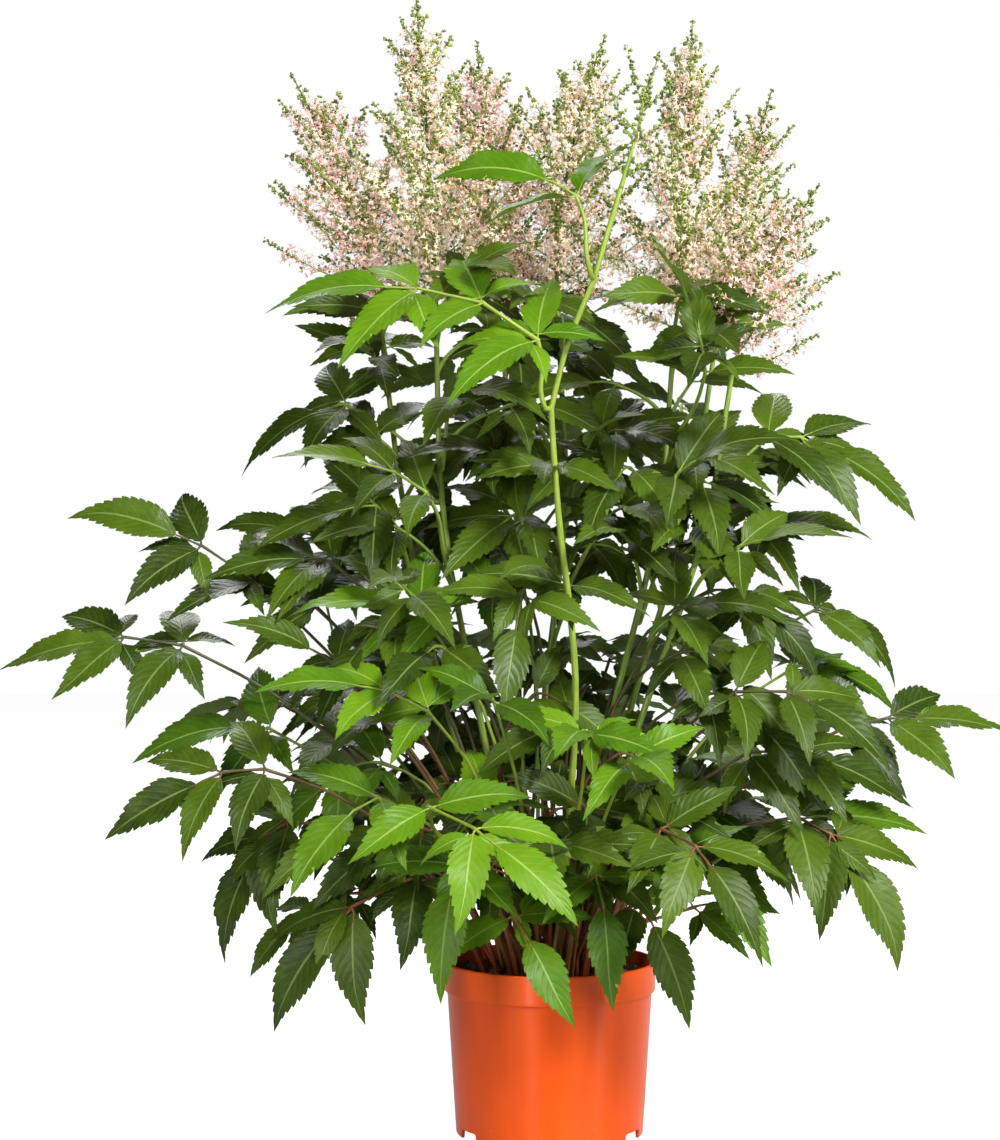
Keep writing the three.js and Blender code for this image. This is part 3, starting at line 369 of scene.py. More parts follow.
def plume_of(node):
    """The axis of a plume and its racemes, each as rows of (x, y, z, radius) from the root to the tip."""
    places, near = net_of(node)
    low = set(sorted(range(len(places)), key=lambda v: places[v][2])[:3])
    tips = [v for v in range(len(places)) if len(near[v]) == 3 and v not in low
            and all(a in near[b] for a in near[v] for b in near[v] if a != b)]
    top = max(tips, key=lambda v: places[v][2])
    seen, racemes = set(low), []
    for tip in [v for v in tips if v != top] + [top]:
        seen.add(tip)
        rings, onward = walk(near, near[tip], seen, 3)
        rows = [[*places[tip], 0.0]] + [ring_of(places, ring) for ring in rings]
        root = places[sorted(onward)].mean(axis=0) if onward else np.array(rows[-1][:3])
        racemes.append(np.array([[*root, rows[-1][3]], *rows[::-1]]))
    seen -= low
    rings, _ = walk(near, low, seen, 3)
    axis = np.array([ring_of(places, ring) for ring in rings])
    spire = racemes[-1]
    whole = np.vstack([axis, spire[1:2]]) if len(axis) > 1 else spire
    return whole, racemes


# Leaves

# Places along a leaflet, and its half-width there over its length: broad low down, with a long tip
OUTLINE = np.array([
    [0, 0.02], [0.04, 0.075], [0.1, 0.132], [0.18, 0.18], [0.28, 0.208], [0.38, 0.215], [0.48, 0.203],
    [0.58, 0.174], [0.67, 0.138], [0.75, 0.104], [0.83, 0.067], [0.9, 0.036], [0.96, 0.014], [1, 0],
])
WIDEST = OUTLINE[:, 1].max()
BLADE_RISE = 0.14                  # how steeply a leaflet sets off from its stalk
# Lines along a leaflet from edge to edge, and their lift: on its upper face, and below its midrib
COLUMNS, LIFTS = np.array([-1, -0.52, 0, 0.52, 1]), np.array([0, 0.16, 0.05, 0.16, 0]) * MM
UNDER_COLUMNS, UNDER_LIFTS = np.array([0.0]), np.array([-0.55]) * MM
STALK_FOOT, STALK_END = 2.1 * MM, 1.2 * MM                     # radii of a further leaf's stalk
PETIOLULE, FINE_PETIOLULE, RIB_END = 0.85 * MM, 0.6 * MM, 0.45 * MM


def new_blade(knot, root, along, facing, length, arch, roll):
    """A leaflet from its root on, drawn as the CAD leaflets are. Its short stalk comes from the knot."""
    along = unit(along)
    side = turn(unit(np.cross(facing, along)), along, roll)
    top = np.cross(along, side)
    return {"knot": knot, "a": root, "b": (along + top * BLADE_RISE) * length, "c": -top * arch * length,
            "side": side, "top": top, "length": length, "width": WIDEST * length, "last": False}


def teeth(length, rng, fine):
    """Places along a leaflet, and how far its teeth cut the edge in and push it forward there."""
    count = int(round(4 + 100 * length))
    step = 0.88 / count
    start = 0.055 + step * np.arange(count)
    depth = np.where(np.arange(count) % 2 == 0, 1.25, 0.75) * rng.uniform(0.8, 1.2, count)
    kept = [0, 1, 2] if fine else [0, 2]
    t = np.stack([start, start + 0.42 * step, start + 0.82 * step], 1)[:, kept].ravel()
    bite = np.stack([-depth, -0.12 * depth, 0.22 * depth], 1)[:, kept].ravel()
    push = np.tile(np.array([0.0, 0.25, 1.0])[kept], count)
    return (np.concatenate([[0, 0.03], t, [0.955, 0.98]]), np.concatenate([[0, 0], bite, [-0.2, 0]]),
            np.concatenate([[0, 0], push, [0, 0]]))


def blade_faces(rows):
    """Faces over rows of six points, five above and one below, and a last point at the tip: those of the
    upper side, those of the lower, and the root."""
    i, last = np.arange(rows - 1)[:, None] * 6, (rows - 1) * 6
    groups = []
    for columns, order in ((np.arange(5), 1), (np.array([0, 5, 4]), -1)):
        a, b = columns[:-1], columns[1:]
        quads = np.stack([i + a, i + 6 + a, i + 6 + b, i + b], -1).reshape(-1, 4)
        fan = np.stack([last + a, np.full(len(a), rows * 6), last + b], -1)
        groups += [quads[:, ::order], fan[:, ::order]]
    return [*groups, np.arange(6)[None]]


def draw_blade(shape, blade, rng, fine=True):
    """A thin closed leaflet with a double-toothed edge, folded along its midrib."""
    a, b, c, length, seed = blade["a"], blade["b"], blade["c"], blade["length"], rng.random()
    t, bite, push = teeth(length, rng, fine)
    scale = blade["width"] / (WIDEST * length)
    half = np.interp(t, OUTLINE[:, 0], OUTLINE[:, 1]) * length * scale
    fade = np.clip(half / (0.12 * length), 0.15, 1)
    reach = np.maximum(half + bite * 0.021 * length * fade, 0.0004)
    push = push * 0.022 * length * fade
    tip_drop = 0.1 * rng.uniform(-0.3, 1.2) * length * np.clip(t - 0.7, 0, 1) ** 2 * 4
    swing = rng.uniform(-0.35, 0.35) * length * np.clip(t - 0.55, 0, 1) ** 2
    middle = (a + b * t[:, None] + c * (t ** 2)[:, None]
              - blade["top"] * tip_drop[:, None] + blade["side"] * swing[:, None])
    tangent = unit(b + 2 * c * t[:, None])
    twist = rng.uniform(-0.5, 0.5) * np.clip(t - 0.15, 0, 1)
    level, steep = np.cos(twist)[:, None], np.sin(twist)[:, None]
    side = unit(blade["side"] * level + np.cross(tangent, blade["side"]) * steep)
    top = np.cross(tangent, side)
    phases, waves, wave = rng.uniform(0, TURN, 2), rng.uniform(1.6, 3.2), rng.uniform(0.4, 1.3)

    def surface(u, lift):
        width = np.abs(u)[None] * np.where(np.abs(u) == 1, reach[:, None], half[:, None])
        fold = half[:, None] * (0.34 * np.abs(u) - 0.15 * u ** 2)[None]
        phase = np.where(u < 0, phases[0], phases[1])[None]
        ripple = 0.016 * wave * length * np.sin(TURN * waves * t[:, None] + phase) * (u ** 2)[None]
        forward = np.where(np.abs(u) == 1, push[:, None], 0)
        return (middle[:, None] + side[:, None] * (np.sign(u)[None] * width)[..., None]
                + top[:, None] * (fold + ripple * fade[:, None] + lift)[..., None]
                + tangent[:, None] * forward[..., None])

    body = np.clip(half / 0.004, 0.3, 1)[:, None]
    upper, lower = surface(COLUMNS, LIFTS * body), surface(UNDER_COLUMNS, UNDER_LIFTS * body)
    skin = np.concatenate([upper, lower], axis=1)
    end = a + b + c - blade["top"] * tip_drop[-1] + blade["side"] * swing[-1]
    look = look_of(np.concatenate([COLUMNS, UNDER_COLUMNS]), t[:, None], seed)
    shape.add(np.vstack([skin.reshape(-1, 3), end]), np.vstack([look.reshape(-1, 3), [0, 1, seed]]),
              blade_faces(len(t)), BLADE_SLOT, [0.0, 0.0, 1.0, 1.0, 1.0])


def draw_petiolule(shape, knot, blade, radius, rng):
    """The short stalk from a leaf's axis to a leaflet, running on as its midrib."""
    heading = unit(blade["b"])
    path = smooth_path([knot, blade["a"] - heading * 0.2 * norm(blade["a"] - knot), blade["a"],
                        blade["a"] + blade["b"] * 0.09 + blade["c"] * 0.0081], 2)
    tube(shape, path, np.linspace(radius, RIB_END, len(path)), 6, rng.random(), STALK_SLOT)


def facing_of(head):
    """Where a leaf turns its upper face: up, and to the front, or outward at the back of the plant."""
    outward = unit([head[0], head[1], 0])
    return unit(UP + (outward * 0.5 if head[1] > 0.07 else FRONT * 0.8))


def splay(heading, side, degrees, droop):
    """A heading turned sideways by an angle, and down a little."""
    angle = math.radians(degrees)
    return heading * math.cos(angle) + side * math.sin(angle) - UP * droop


def grow_frond(start, head, tip, pairs, blade, rng):
    """A leaf that has no CAD node of its own, on the same rules as those that have one. Its bare stalk runs
    from the start to the head, and its last leaflet ends at the tip. blade is the length of a leaflet."""
    facing = facing_of(head)
    reach = norm(head - start)
    rising, onward = unit(head - start), unit(tip - head)
    launch, arrival = unit(rising * 0.75 + UP), unit(onward * 0.55 + rising * 0.45)
    rachis = max(norm(tip - head) - blade, 0.25 * blade)
    end = head + onward * rachis
    petiole = [start, start + launch * 0.4 * reach, head - arrival * 0.35 * reach, head]
    axis = [head, head + arrival * 0.45 * rachis, end]
    line = np.vstack([bezier(petiole, np.linspace(0, 1, 12)), bezier(axis, np.linspace(0, 1, 7))[1:]])
    stalk = np.column_stack([line, np.linspace(STALK_FOOT, STALK_END, len(line))])
    blades = []
    for index in range(pairs):
        share = index / max(pairs - 1, 1)
        knot, ahead = bezier(axis, [share * 0.72, share * 0.72 + 0.01])
        along = unit(ahead - knot)
        side = unit(np.cross(facing, along))
        for sign in (1, -1):
            spread = blend(64, 50, share) + rng.uniform(-8, 8)
            aim = splay(along, side * sign, spread, rng.uniform(0.04, 0.2))
            root = knot + unit(aim) * 6 * MM
            roll = sign * 0.1 + rng.uniform(-0.25, 0.25)
            length, arch = blade * rng.uniform(0.82, 0.98), rng.uniform(0.26, 0.5)
            blades.append(new_blade(knot, root, aim, facing, length, arch, roll))
    along = unit(line[-1] - line[-2])
    arch, roll = rng.uniform(0.26, 0.5), rng.uniform(-0.17, 0.17)
    last = new_blade(end, end + along * 4.5 * MM, along, facing, 1.04 * blade, arch, roll)
    last["last"] = True
    return {"stalk": stalk, "blades": [*blades, last], "foot": None}


def side_leaflets(blade, rng, share):
    """The two smaller leaflets at the foot of a side leaflet, for a share of them."""
    if blade["last"] or rng.random() > share:
        return []
    heading, made = unit(blade["b"]), []
    for sign in (1, -1):
        aim = splay(heading, blade["side"] * sign, rng.uniform(58, 78), rng.uniform(0.1, 0.35))
        length = blade["length"] * rng.uniform(0.5, 0.68)
        root = blade["a"] + unit(aim) * 3 * MM
        arch, roll = rng.uniform(0.25, 0.5), rng.uniform(-0.3, 0.3)
        made.append(new_blade(blade["a"], root, aim, blade["top"], length, arch, roll))
    return made


def draw_frond(shape, frond, rng, share=0.5, fine=True):
    """A leaf: its stalk with swollen joints, and its leaflets, a share of them with two smaller ones."""
    stalk = smooth_path(frond["stalk"], 3) if fine else frond["stalk"]
    if frond["foot"] is not None:
        stalk = np.vstack([[*frond["foot"], stalk[0, 3]], stalk])
    line = stalk[:, :3]
    radii = stalk[:, 3] * blend(0.86, 0.6, np.linspace(0, 1, len(stalk)))
    for blade in frond["blades"]:
        near = norm(line - blade["knot"], axis=1)
        radii *= 1 + 0.22 * np.exp(-(near / (2.4 * MM)) ** 2)
    tube(shape, line, radii, 7, rng.random(), STALK_SLOT)
    for blade in frond["blades"]:
        near = np.argmin(norm(line - blade["knot"], axis=1))
        draw_petiolule(shape, line[-1 if blade["last"] else near], blade, PETIOLULE, rng)
        draw_blade(shape, blade, rng, fine)
        for small in side_leaflets(blade, rng, share):
            draw_petiolule(shape, small["knot"], small, FINE_PETIOLULE, rng)
            draw_blade(shape, small, rng, False)


# Plumes


def floret_template(petals, opening):
    """A closed star of narrow petals round a small cup, one unit long, opening along +Z."""
    points, look = [(0, 0, -0.12), (0, 0, 0.16)], [(petals, 0, 0), (petals, 0.1, 0)]
    for k in range(petals):
        for turned, out, rise, along in ((0, 1.0, opening, 1), (0.5, 0.34, 0.24, 0.3)):
            angle = TURN * (k + turned) / petals
            points.append((out * math.cos(angle), out * math.sin(angle), rise))
            look.append((k, along, 0))
    count = 2 * petals
    rim, onward = 2 + np.arange(count), 2 + (np.arange(count) + 1) % count
    faces = np.concatenate([np.stack([np.full(count, 1), rim, onward], 1),
                            np.stack([np.full(count, 0), onward, rim], 1)])
    return np.array(points), faces, np.array(look, float), PETAL_SLOT


def ball_template():
    """A bud or crumb, one unit in radius, drawn out a little along +Z."""
    angle = np.arange(4) * math.pi / 2
    ring = np.stack([np.cos(angle), np.sin(angle), np.zeros(4)], 1)
    points = np.vstack([ring, [[0, 0, 1.25], [0, 0, -1.0]]])
    k, n = np.arange(4), (np.arange(4) + 1) % 4
    faces = np.concatenate([np.stack([k, n, np.full(4, 4)], 1), np.stack([n, k, np.full(4, 5)], 1)])
    return points, faces, look_of(6.0, points[:, 2] * 0.4 + 0.5, 0), BUD_SLOT


# Wide open florets, and those seen half open, whose petals overlap to three
OPEN_FLORET, HALF_OPEN_FLORET, BALL = floret_template(5, 0.45), floret_template(3, 0.7), ball_template()
HALF_OPEN_SHARE = 0.5
FLORETS_PER_MM = 1.3
FLORET_SIZES, PEDICEL_RADIUS = (2.3, 3.6), 0.3 * MM            # sizes in mm
BARE = 0.006                       # of a raceme's foot, without florets
BEAD_PITCH = 0.0031                # from one cluster of buds to the next along a raceme's tip
BEAD_BUDS = 4                      # in each cluster
RACEME_STEP = 6.0 * MM             # up the axis from one further raceme to the next


def scatter(shape, template, places, aims, sizes, rng, slot=None):
    """Copies of a small template as real faces, each turned to its aim."""
    if not len(places):
        return
    points, faces, look, own_slot = template
    aims = unit(aims)
    x, y = axes_across(aims)
    spin = rng.uniform(0, TURN, len(places))[:, None]
    x, y = x * np.cos(spin) + y * np.sin(spin), y * np.cos(spin) - x * np.sin(spin)
    turned = (points[None, :, 0:1] * x[:, None] + points[None, :, 1:2] * y[:, None]
              + points[None, :, 2:3] * aims[:, None])
    made = places[:, None] + turned * sizes[:, None, None]
    looks = look_of(look[:, 0], look[:, 1], rng.random(len(places))[:, None])
    base = np.arange(len(places))[:, None, None] * len(points)
    shape.add(made, looks, [(base + faces).reshape(-1, 3)], own_slot if slot is None else slot)


def threads(shape, starts, ends, rng):
    """Fine pedicels, each a slender three-sided spike from its root to its flower."""
    aims = unit(ends - starts)
    x, y = axes_across(aims)
    corners = [starts + (x * math.cos(a) + y * math.sin(a)) * PEDICEL_RADIUS for a in (0, 2.094, 4.189)]
    points = np.stack([*corners, ends + aims * PEDICEL_RADIUS], 1)
    look = look_of(7, np.array([0, 0, 0, 1]), rng.random(len(starts))[:, None])
    base = np.arange(len(starts))[:, None, None] * 4
    faces = np.array([[0, 1, 3], [1, 2, 3], [2, 0, 3], [0, 2, 1]])
    shape.add(points, look, [(base + faces).reshape(-1, 3)], PEDICEL_SLOT)


def along_line(line, distance):
    """Rows at distances along rows of (x, y, z, radius), and the headings there."""
    total = distances(line[:, :3])
    distance = np.clip(distance, 0, total[-1])

    def rows_at(place):
        place = np.clip(place, 0, total[-1])
        return np.stack([np.interp(place, total, column) for column in line.T], -1)

    return rows_at(distance), unit((rows_at(distance + MM) - rows_at(distance - MM))[:, :3])


def clusters_only(line):
    """The line with the radius of its clusters of florets all along, in place of clusters and waists."""
    line = line.copy()
    wide = [k for k in range(len(line)) if line[k, 3] > 2.4 * MM
            and line[k, 3] >= max(line[max(k - 1, 0), 3], line[min(k + 1, len(line) - 1), 3])]
    if wide:
        line[:, 3] = np.interp(np.arange(len(line)), wide, line[wide, 3])
        line[-1, 3] = line[wide[-1], 3] * 0.35
    return line


def draw_beads(shape, line, start, total, rng):
    """Round clusters of green buds, one behind the other along the end of a raceme."""
    place = np.arange(start, total + 0.001, BEAD_PITCH)
    at, heading = along_line(line, place)
    side = np.where(np.arange(len(place)) % 2 == 0, 1, -1)[:, None] * unit(np.cross(heading, UP + 0.01))
    size = blend(1.75, 1.15, (place - start) / max(total - start, BEAD_PITCH)) * MM
    centres = at[:, :3] + side * (0.9 * size)[:, None] + rng.normal(0, 0.35 * MM, (len(place), 3))
    buds = np.repeat(centres, BEAD_BUDS, axis=0)
    buds = buds + rng.normal(0, 0.75 * MM, buds.shape)
    aims = np.repeat(unit(side + heading), BEAD_BUDS, axis=0)
    sizes = np.repeat(size, BEAD_BUDS) * rng.uniform(0.7, 1.0, len(buds))
    scatter(shape, BALL, buds, aims, sizes, rng)


def draw_raceme(shape, line, rng, buds_from, bud_share):
    """Florets along one raceme, a share of them still buds, then the clusters of buds at its end."""
    line = clusters_only(line)
    total = length_of(line)
    path = smooth_path(line[:, :3], 2)
    tube(shape, path, np.linspace(0.55 * MM, 0.3 * MM, len(path)), 4, rng.random(), PEDICEL_SLOT)
    open_end = max(buds_from * total, BARE)
    draw_beads(shape, line, open_end, total, rng)
    count = int((open_end - BARE) / MM * FLORETS_PER_MM)
    if count < 3:
        return
    place = BARE + (open_end - BARE) * np.sort(rng.random(count))
    at, heading = along_line(line, place)
    side = unit(np.cross(heading, UP + 0.01))
    angle = rng.uniform(0, TURN, count)[:, None]
    radial = side * np.cos(angle) + np.cross(heading, side) * np.sin(angle)
    closed = rng.random(count) < bud_share
    spread = 1.15 * at[:, 3] * np.sqrt(rng.uniform(0.05, 1.0, count)) * np.where(closed, 0.75, 1.0)
    ends = at[:, :3] + radial * spread[:, None] + heading * (0.25 * spread)[:, None]
    ends += UP * (0.1 * spread)[:, None]
    roots, _ = along_line(line, np.maximum(place - 0.5 * spread, 0))
    aims = unit(radial * 0.8 + heading * 0.45 + UP * 0.3 + rng.normal(0, 0.25, (count, 3)))
    threads(shape, roots[:, :3], ends, rng)
    size = rng.uniform(*FLORET_SIZES, count) * MM * blend(1.05, 0.8, place / total)
    half_open = rng.random(count) < HALF_OPEN_SHARE
    for template, chosen in ((OPEN_FLORET, ~closed & ~half_open), (HALF_OPEN_FLORET, ~closed & half_open)):
        scatter(shape, template, ends[chosen], aims[chosen], size[chosen], rng)
    buds = np.repeat(ends[closed], 2, axis=0)
    buds = buds + rng.normal(0, 0.9 * MM, buds.shape)
    sizes = rng.uniform(0.9, 1.5, len(buds)) * MM
    scatter(shape, BALL, buds, np.repeat(aims[closed], 2, axis=0), sizes, rng)


def extra_racemes(spine, racemes, rng, reaches):
    """Racemes between those of the CAD plume, in a spiral up the axis, none rising over its top."""
    feet = np.array([r[0, :3] for r in racemes])
    lengths = np.array([norm(r[-1, :3] - r[0, :3]) for r in racemes])
    low_reach, high_reach = (share * lengths[:-1].max() for share in reaches)
    total = length_of(spine)
    made = []
    for k, height in enumerate(np.arange(0.04 * total, 0.93 * total, RACEME_STEP)):
        at, heading = along_line(spine, np.array([height]))
        foot, heading = at[0, :3], heading[0]
        share = height / total
        near = norm(feet - foot, axis=1) < 30 * MM
        longest = lengths[near].max() if near.any() else 0.03
        reach = blend(low_reach, high_reach, share) * (1 - share ** 4)
        length = max(0.6 * longest, reach) * rng.uniform(0.7, 1.02)
        angle = k * GOLDEN_ANGLE + rng.uniform(-0.3, 0.3)
        out = turn(unit(np.cross(heading, FRONT)), heading, angle)
        rise = math.radians(24 + 32 * share + rng.uniform(-8, 8))
        aim = out * math.cos(rise) + heading * math.sin(rise)
        s = np.linspace(0, 1, 6)
        lift = rng.uniform(0.1, 0.3) * length
        room = np.clip((spine[-1, 2] - 0.01 - foot[2]) / (aim[2] * length + lift + 0.45 * length), 0.3, 1)
        path = foot + aim * (s * (length * room))[:, None] + UP * (lift * room * s ** 2)[:, None]
        made.append(np.column_stack([path, blend(8.0, 3.2, s) * MM * blend(1, 0.7, share)]))
    return made


# Materials


def linear(colour):
    """An sRGB colour of 0 to 255 as linear values."""
    c = np.array(colour, float) / 255
    c = np.where(c <= 0.04045, c / 12.92, ((c + 0.055) / 1.055) ** 2.4)
    return (*[float(x) for x in c], 1.0)


class Paint:
    """A material under construction, with short names for its nodes. A colour is three sRGB numbers of 0 to
    255, or four linear ones."""

    def __init__(self, name):
        self.material = bpy.data.materials.new(name)
        self.material.use_nodes = True
        self.tree = self.material.node_tree

    def put(self, socket, value):
        if isinstance(value, bpy.types.NodeSocket):
            self.tree.links.new(value, socket)
        else:
            socket.default_value = linear(value) if socket.type == "RGBA" and len(value) == 3 else value

    def node(self, kind, values=(), **settings):
        made = self.tree.nodes.new(kind)
        for key, value in settings.items():
            setattr(made, key, value)
        for key, value in dict(values).items():
            self.put(made.inputs[key], value)
        return made

    def math(self, operation, a, b=0.0, clamp=False):
        return self.node("ShaderNodeMath", {0: a, 1: b}, operation=operation, use_clamp=clamp).outputs[0]

    def plus(self, a, b, clamp=False):
        return self.math("ADD", a, b, clamp)

    def minus(self, a, b):
        return self.math("SUBTRACT", a, b)

    def times(self, a, b):
        return self.math("MULTIPLY", a, b)

    def span(self, value, low, high, to_low=0.0, to_high=1.0):
        """From to_low to to_high, eased, as the value goes from low to high."""
        values = {"Value": value, "From Min": low, "From Max": high, "To Min": to_low, "To Max": to_high}
        return self.node("ShaderNodeMapRange", values, interpolation_type="SMOOTHSTEP").outputs["Result"]

    def vary(self, noise, low=0.0, high=1.0):
        return self.span(noise, 0.3, 0.7, low, high)

    def mix(self, factor, a, b):
        return self.node("ShaderNodeMix", {0: factor, 6: a, 7: b}, data_type="RGBA").outputs[2]

    def tint(self, colour, mask, strength, other):
        """The colour with a share of another, where the mask is."""
        return self.mix(self.times(mask, strength), colour, other)

    def noise(self, scale, detail=3.0, roughness=0.5, where=None, distortion=0.0):
        values = {"Scale": scale, "Detail": detail, "Roughness": roughness, "Distortion": distortion,
                  "Vector": where or self.place()}
        return self.node("ShaderNodeTexNoise", values).outputs["Fac"]

    def stretched(self, scale):
        """The place on the object, stretched by a scale for each axis."""
        return self.node("ShaderNodeMapping", {0: self.place(), 3: scale}).outputs[0]

    def place(self):
        return self.node("ShaderNodeTexCoord").outputs["Object"]

    def height(self):
        return self.node("ShaderNodeSeparateXYZ", {0: self.place()}).outputs["Z"]

    def look(self):
        return self.node("ShaderNodeSeparateXYZ", {0: self.attribute("look", "Vector")}).outputs

    def attribute(self, name, output="Fac"):
        return self.node("ShaderNodeAttribute", attribute_name=name).outputs[output]

    def bump(self, height, distance, strength):
        values = {"Height": height, "Distance": distance, "Strength": strength}
        return self.node("ShaderNodeBump", values).outputs["Normal"]

    def finish(self, values):
        for key, value in values.items():
            self.put(self.tree.nodes["Principled BSDF"].inputs[key], value)
        return self.material


def leaf_material(name, deep, light, vein, below):
    """A leaf's two faces: deep green with paler ribs and puckers above, pale and matt below."""
    p = Paint(name)
    look = p.look()
    across = p.math("ABSOLUTE", look["X"])
    # Side veins leave the midrib forwards, those of the two halves in turn
    half = p.times(p.math("SIGN", look["X"]), 0.25)
    slant = p.plus(p.times(across, 0.2), p.times(p.math("POWER", across, 2.0), 0.07))
    rank = p.plus(p.times(p.minus(look["Y"], slant), 9.5), half)
    vein_gap = p.math("ABSOLUTE", p.minus(p.math("FRACT", rank), 0.5))
    side_vein = p.times(p.span(vein_gap, 0.42, 0.5), p.span(across, 1.0, 0.55, 0.35, 1.0))
    midrib = p.span(across, 0.075, 0.02)
    fine = {"Scale": 620.0, "Vector": p.place()}
    cells = p.node("ShaderNodeTexVoronoi", fine, feature="DISTANCE_TO_EDGE")
    net = p.span(cells.outputs["Distance"], 0.0, 0.12, 1.0, 0.0)
    patches = p.noise(38.0, 4.0, 0.6)
    streaks = p.noise(140.0, 3.0, 0.6)
    tone = p.plus(p.times(look["Z"], 0.78), p.times(p.vary(patches), 0.24))
    tone = p.plus(tone, p.times(p.vary(streaks), 0.1), clamp=True)
    upper = p.tint(p.mix(tone, deep, light), side_vein, 0.13, vein)
    upper = p.tint(p.tint(upper, midrib, 0.55, vein), net, 0.06, vein)
    lower = p.tint(p.tint(below, tone, 0.5, vein), p.math("MAXIMUM", side_vein, midrib), 0.45, vein)
    under = p.attribute("under")
    swell = p.minus(p.span(vein_gap, 0.5, 0.1), p.times(midrib, 1.1))
    relief = p.times(swell, p.minus(1.0, p.times(under, 2.0)))
    relief = p.minus(p.plus(relief, p.times(streaks, 0.35)), p.times(net, 0.1))
    rough = p.plus(p.times(under, 0.2), p.vary(patches, 0.36, 0.46))
    return p.finish({"Base Color": p.mix(under, upper, lower), "Roughness": rough,
                     "Normal": p.bump(relief, 0.28 * MM, 0.5), "Specular IOR Level": 0.2})


def stalk_material(name, green, dark, red_from=0.112, red_to=0.24):
    """A stalk: green with darker streaks, and red-brown towards the soil, between two heights."""
    p = Paint(name)
    look = p.look()
    where = {0: p.times(look["X"], 14.0), 1: p.times(look["Y"], 60.0), 2: p.times(look["Z"], 40.0)}
    streaks = p.noise(1.0, 3.0, 0.6, p.node("ShaderNodeCombineXYZ", where).outputs[0])
    own = p.times(p.minus(look["Z"], 0.5), 0.05)
    foot = p.span(p.plus(p.height(), own), red_from, red_to, 1.0, 0.0)
    red = p.mix(p.vary(streaks), (168, 72, 38), (98, 42, 26))
    colour = p.tint(p.mix(p.span(streaks, 0.35, 0.68), green, dark), foot, 0.9, red)
    return p.finish({"Base Color": colour, "Roughness": p.vary(streaks, 0.4, 0.55),
                     "Normal": p.bump(p.plus(streaks, p.noise(900.0, 2.0)), 0.25 * MM, 0.6)})


def petal_material(name, pale, warm, deep):
    """Florets, paler and deeper from one to the next, deeper at the foot of each petal, and glowing faintly
    with painted light.
    """
    p = Paint(name)
    look = p.look()
    clouds = p.span(p.noise(26.0, 2.0), 0.38, 0.62)
    own = p.plus(p.times(look["Z"], 0.6), p.times(clouds, 0.5), clamp=True)
    colour = p.tint(p.mix(own, pale, warm), p.span(look["Y"], 0.55, 0.0), 0.5, deep)
    grain = p.noise(1500.0, 2.0)
    # The emission in the petals' own colour is painted light: a faint glow that stands in for light shining
    # through thin petals and lifts their shade.
    return p.finish({"Base Color": colour, "Roughness": p.vary(grain, 0.55, 0.72),
                     "Normal": p.bump(grain, 0.12 * MM, 0.5), "Specular IOR Level": 0.3,
                     "Emission Color": colour, "Emission Strength": 0.17})


def bud_material(name, green, tip, pale):
    """Buds, lighter at the tip and paler from one to the next."""
    p = Paint(name)
    look = p.look()
    colour = p.tint(p.mix(p.span(look["Y"], 0.45, 1.0), green, tip), look["Z"], 0.45, pale)
    grain = p.noise(1300.0, 2.0)
    return p.finish({"Base Color": colour, "Roughness": p.vary(grain, 0.45, 0.62),
                     "Normal": p.bump(grain, 0.15 * MM, 0.5)})


def pot_material():
    """Glossy moulded orange plastic with flow marks, fine scuffs and a dusty foot."""
    p = Paint("pot_plastic_orange")
    flow = p.noise(6.0, 3.0, 0.55, p.stretched((9.0, 9.0, 1.0)), 0.6)
    cloud = p.noise(16.0, 4.0, 0.6)
    colour = p.mix(p.span(flow, 0.35, 0.65), (232, 83, 1), (227, 79, 1))
    colour = p.tint(colour, p.span(cloud, 0.4, 0.7), 0.2, (235, 88, 5))
    z = p.height()
    colour = p.tint(colour, p.span(z, 0.1, 0.103), 0.4, (235, 92, 14))
    scuffs = p.times(p.span(p.noise(260.0, 4.0, 0.7), 0.62, 0.72), p.span(z, 0.03, 0.0, 0.06, 0.45))
    scratch = p.noise(30.0, 2.0, 0.5, p.stretched((30.0, 30.0, 2.5)))
    rough = p.plus(p.span(scratch, 0.4, 0.7, 0.29, 0.35), p.times(scuffs, 0.3))
    around = p.node("ShaderNodeTangent", direction_type="RADIAL", axis="Z").outputs[0]
    return p.finish({"Base Color": p.mix(scuffs, colour, (236, 168, 130)), "Roughness": rough,
                     "Normal": p.bump(p.noise(700.0, 2.0), 0.04 * MM, 0.25), "Specular IOR Level": 0.32,
                     "Anisotropic": 0.88, "Anisotropic Rotation": 0.25, "Tangent": around})


def soil_material(name, dark, light, pale):
    """Peat or bark: coarse and fine grains, some of them paler."""
    p = Paint(name)
    coarse, fine = p.noise(160.0, 5.0, 0.7), p.noise(900.0, 4.0, 0.7)
    colour = p.tint(p.mix(p.span(coarse, 0.35, 0.68), dark, light), p.span(fine, 0.58, 0.72), 0.5, pale)
    return p.finish({"Base Color": p.tint(colour, p.look()["Z"], 0.3, pale),
                     "Roughness": p.vary(fine, 0.8, 0.97), "Specular IOR Level": 0.25,
                     "Normal": p.bump(p.plus(coarse, p.times(fine, 0.5)), 1.4 * MM, 0.9)})


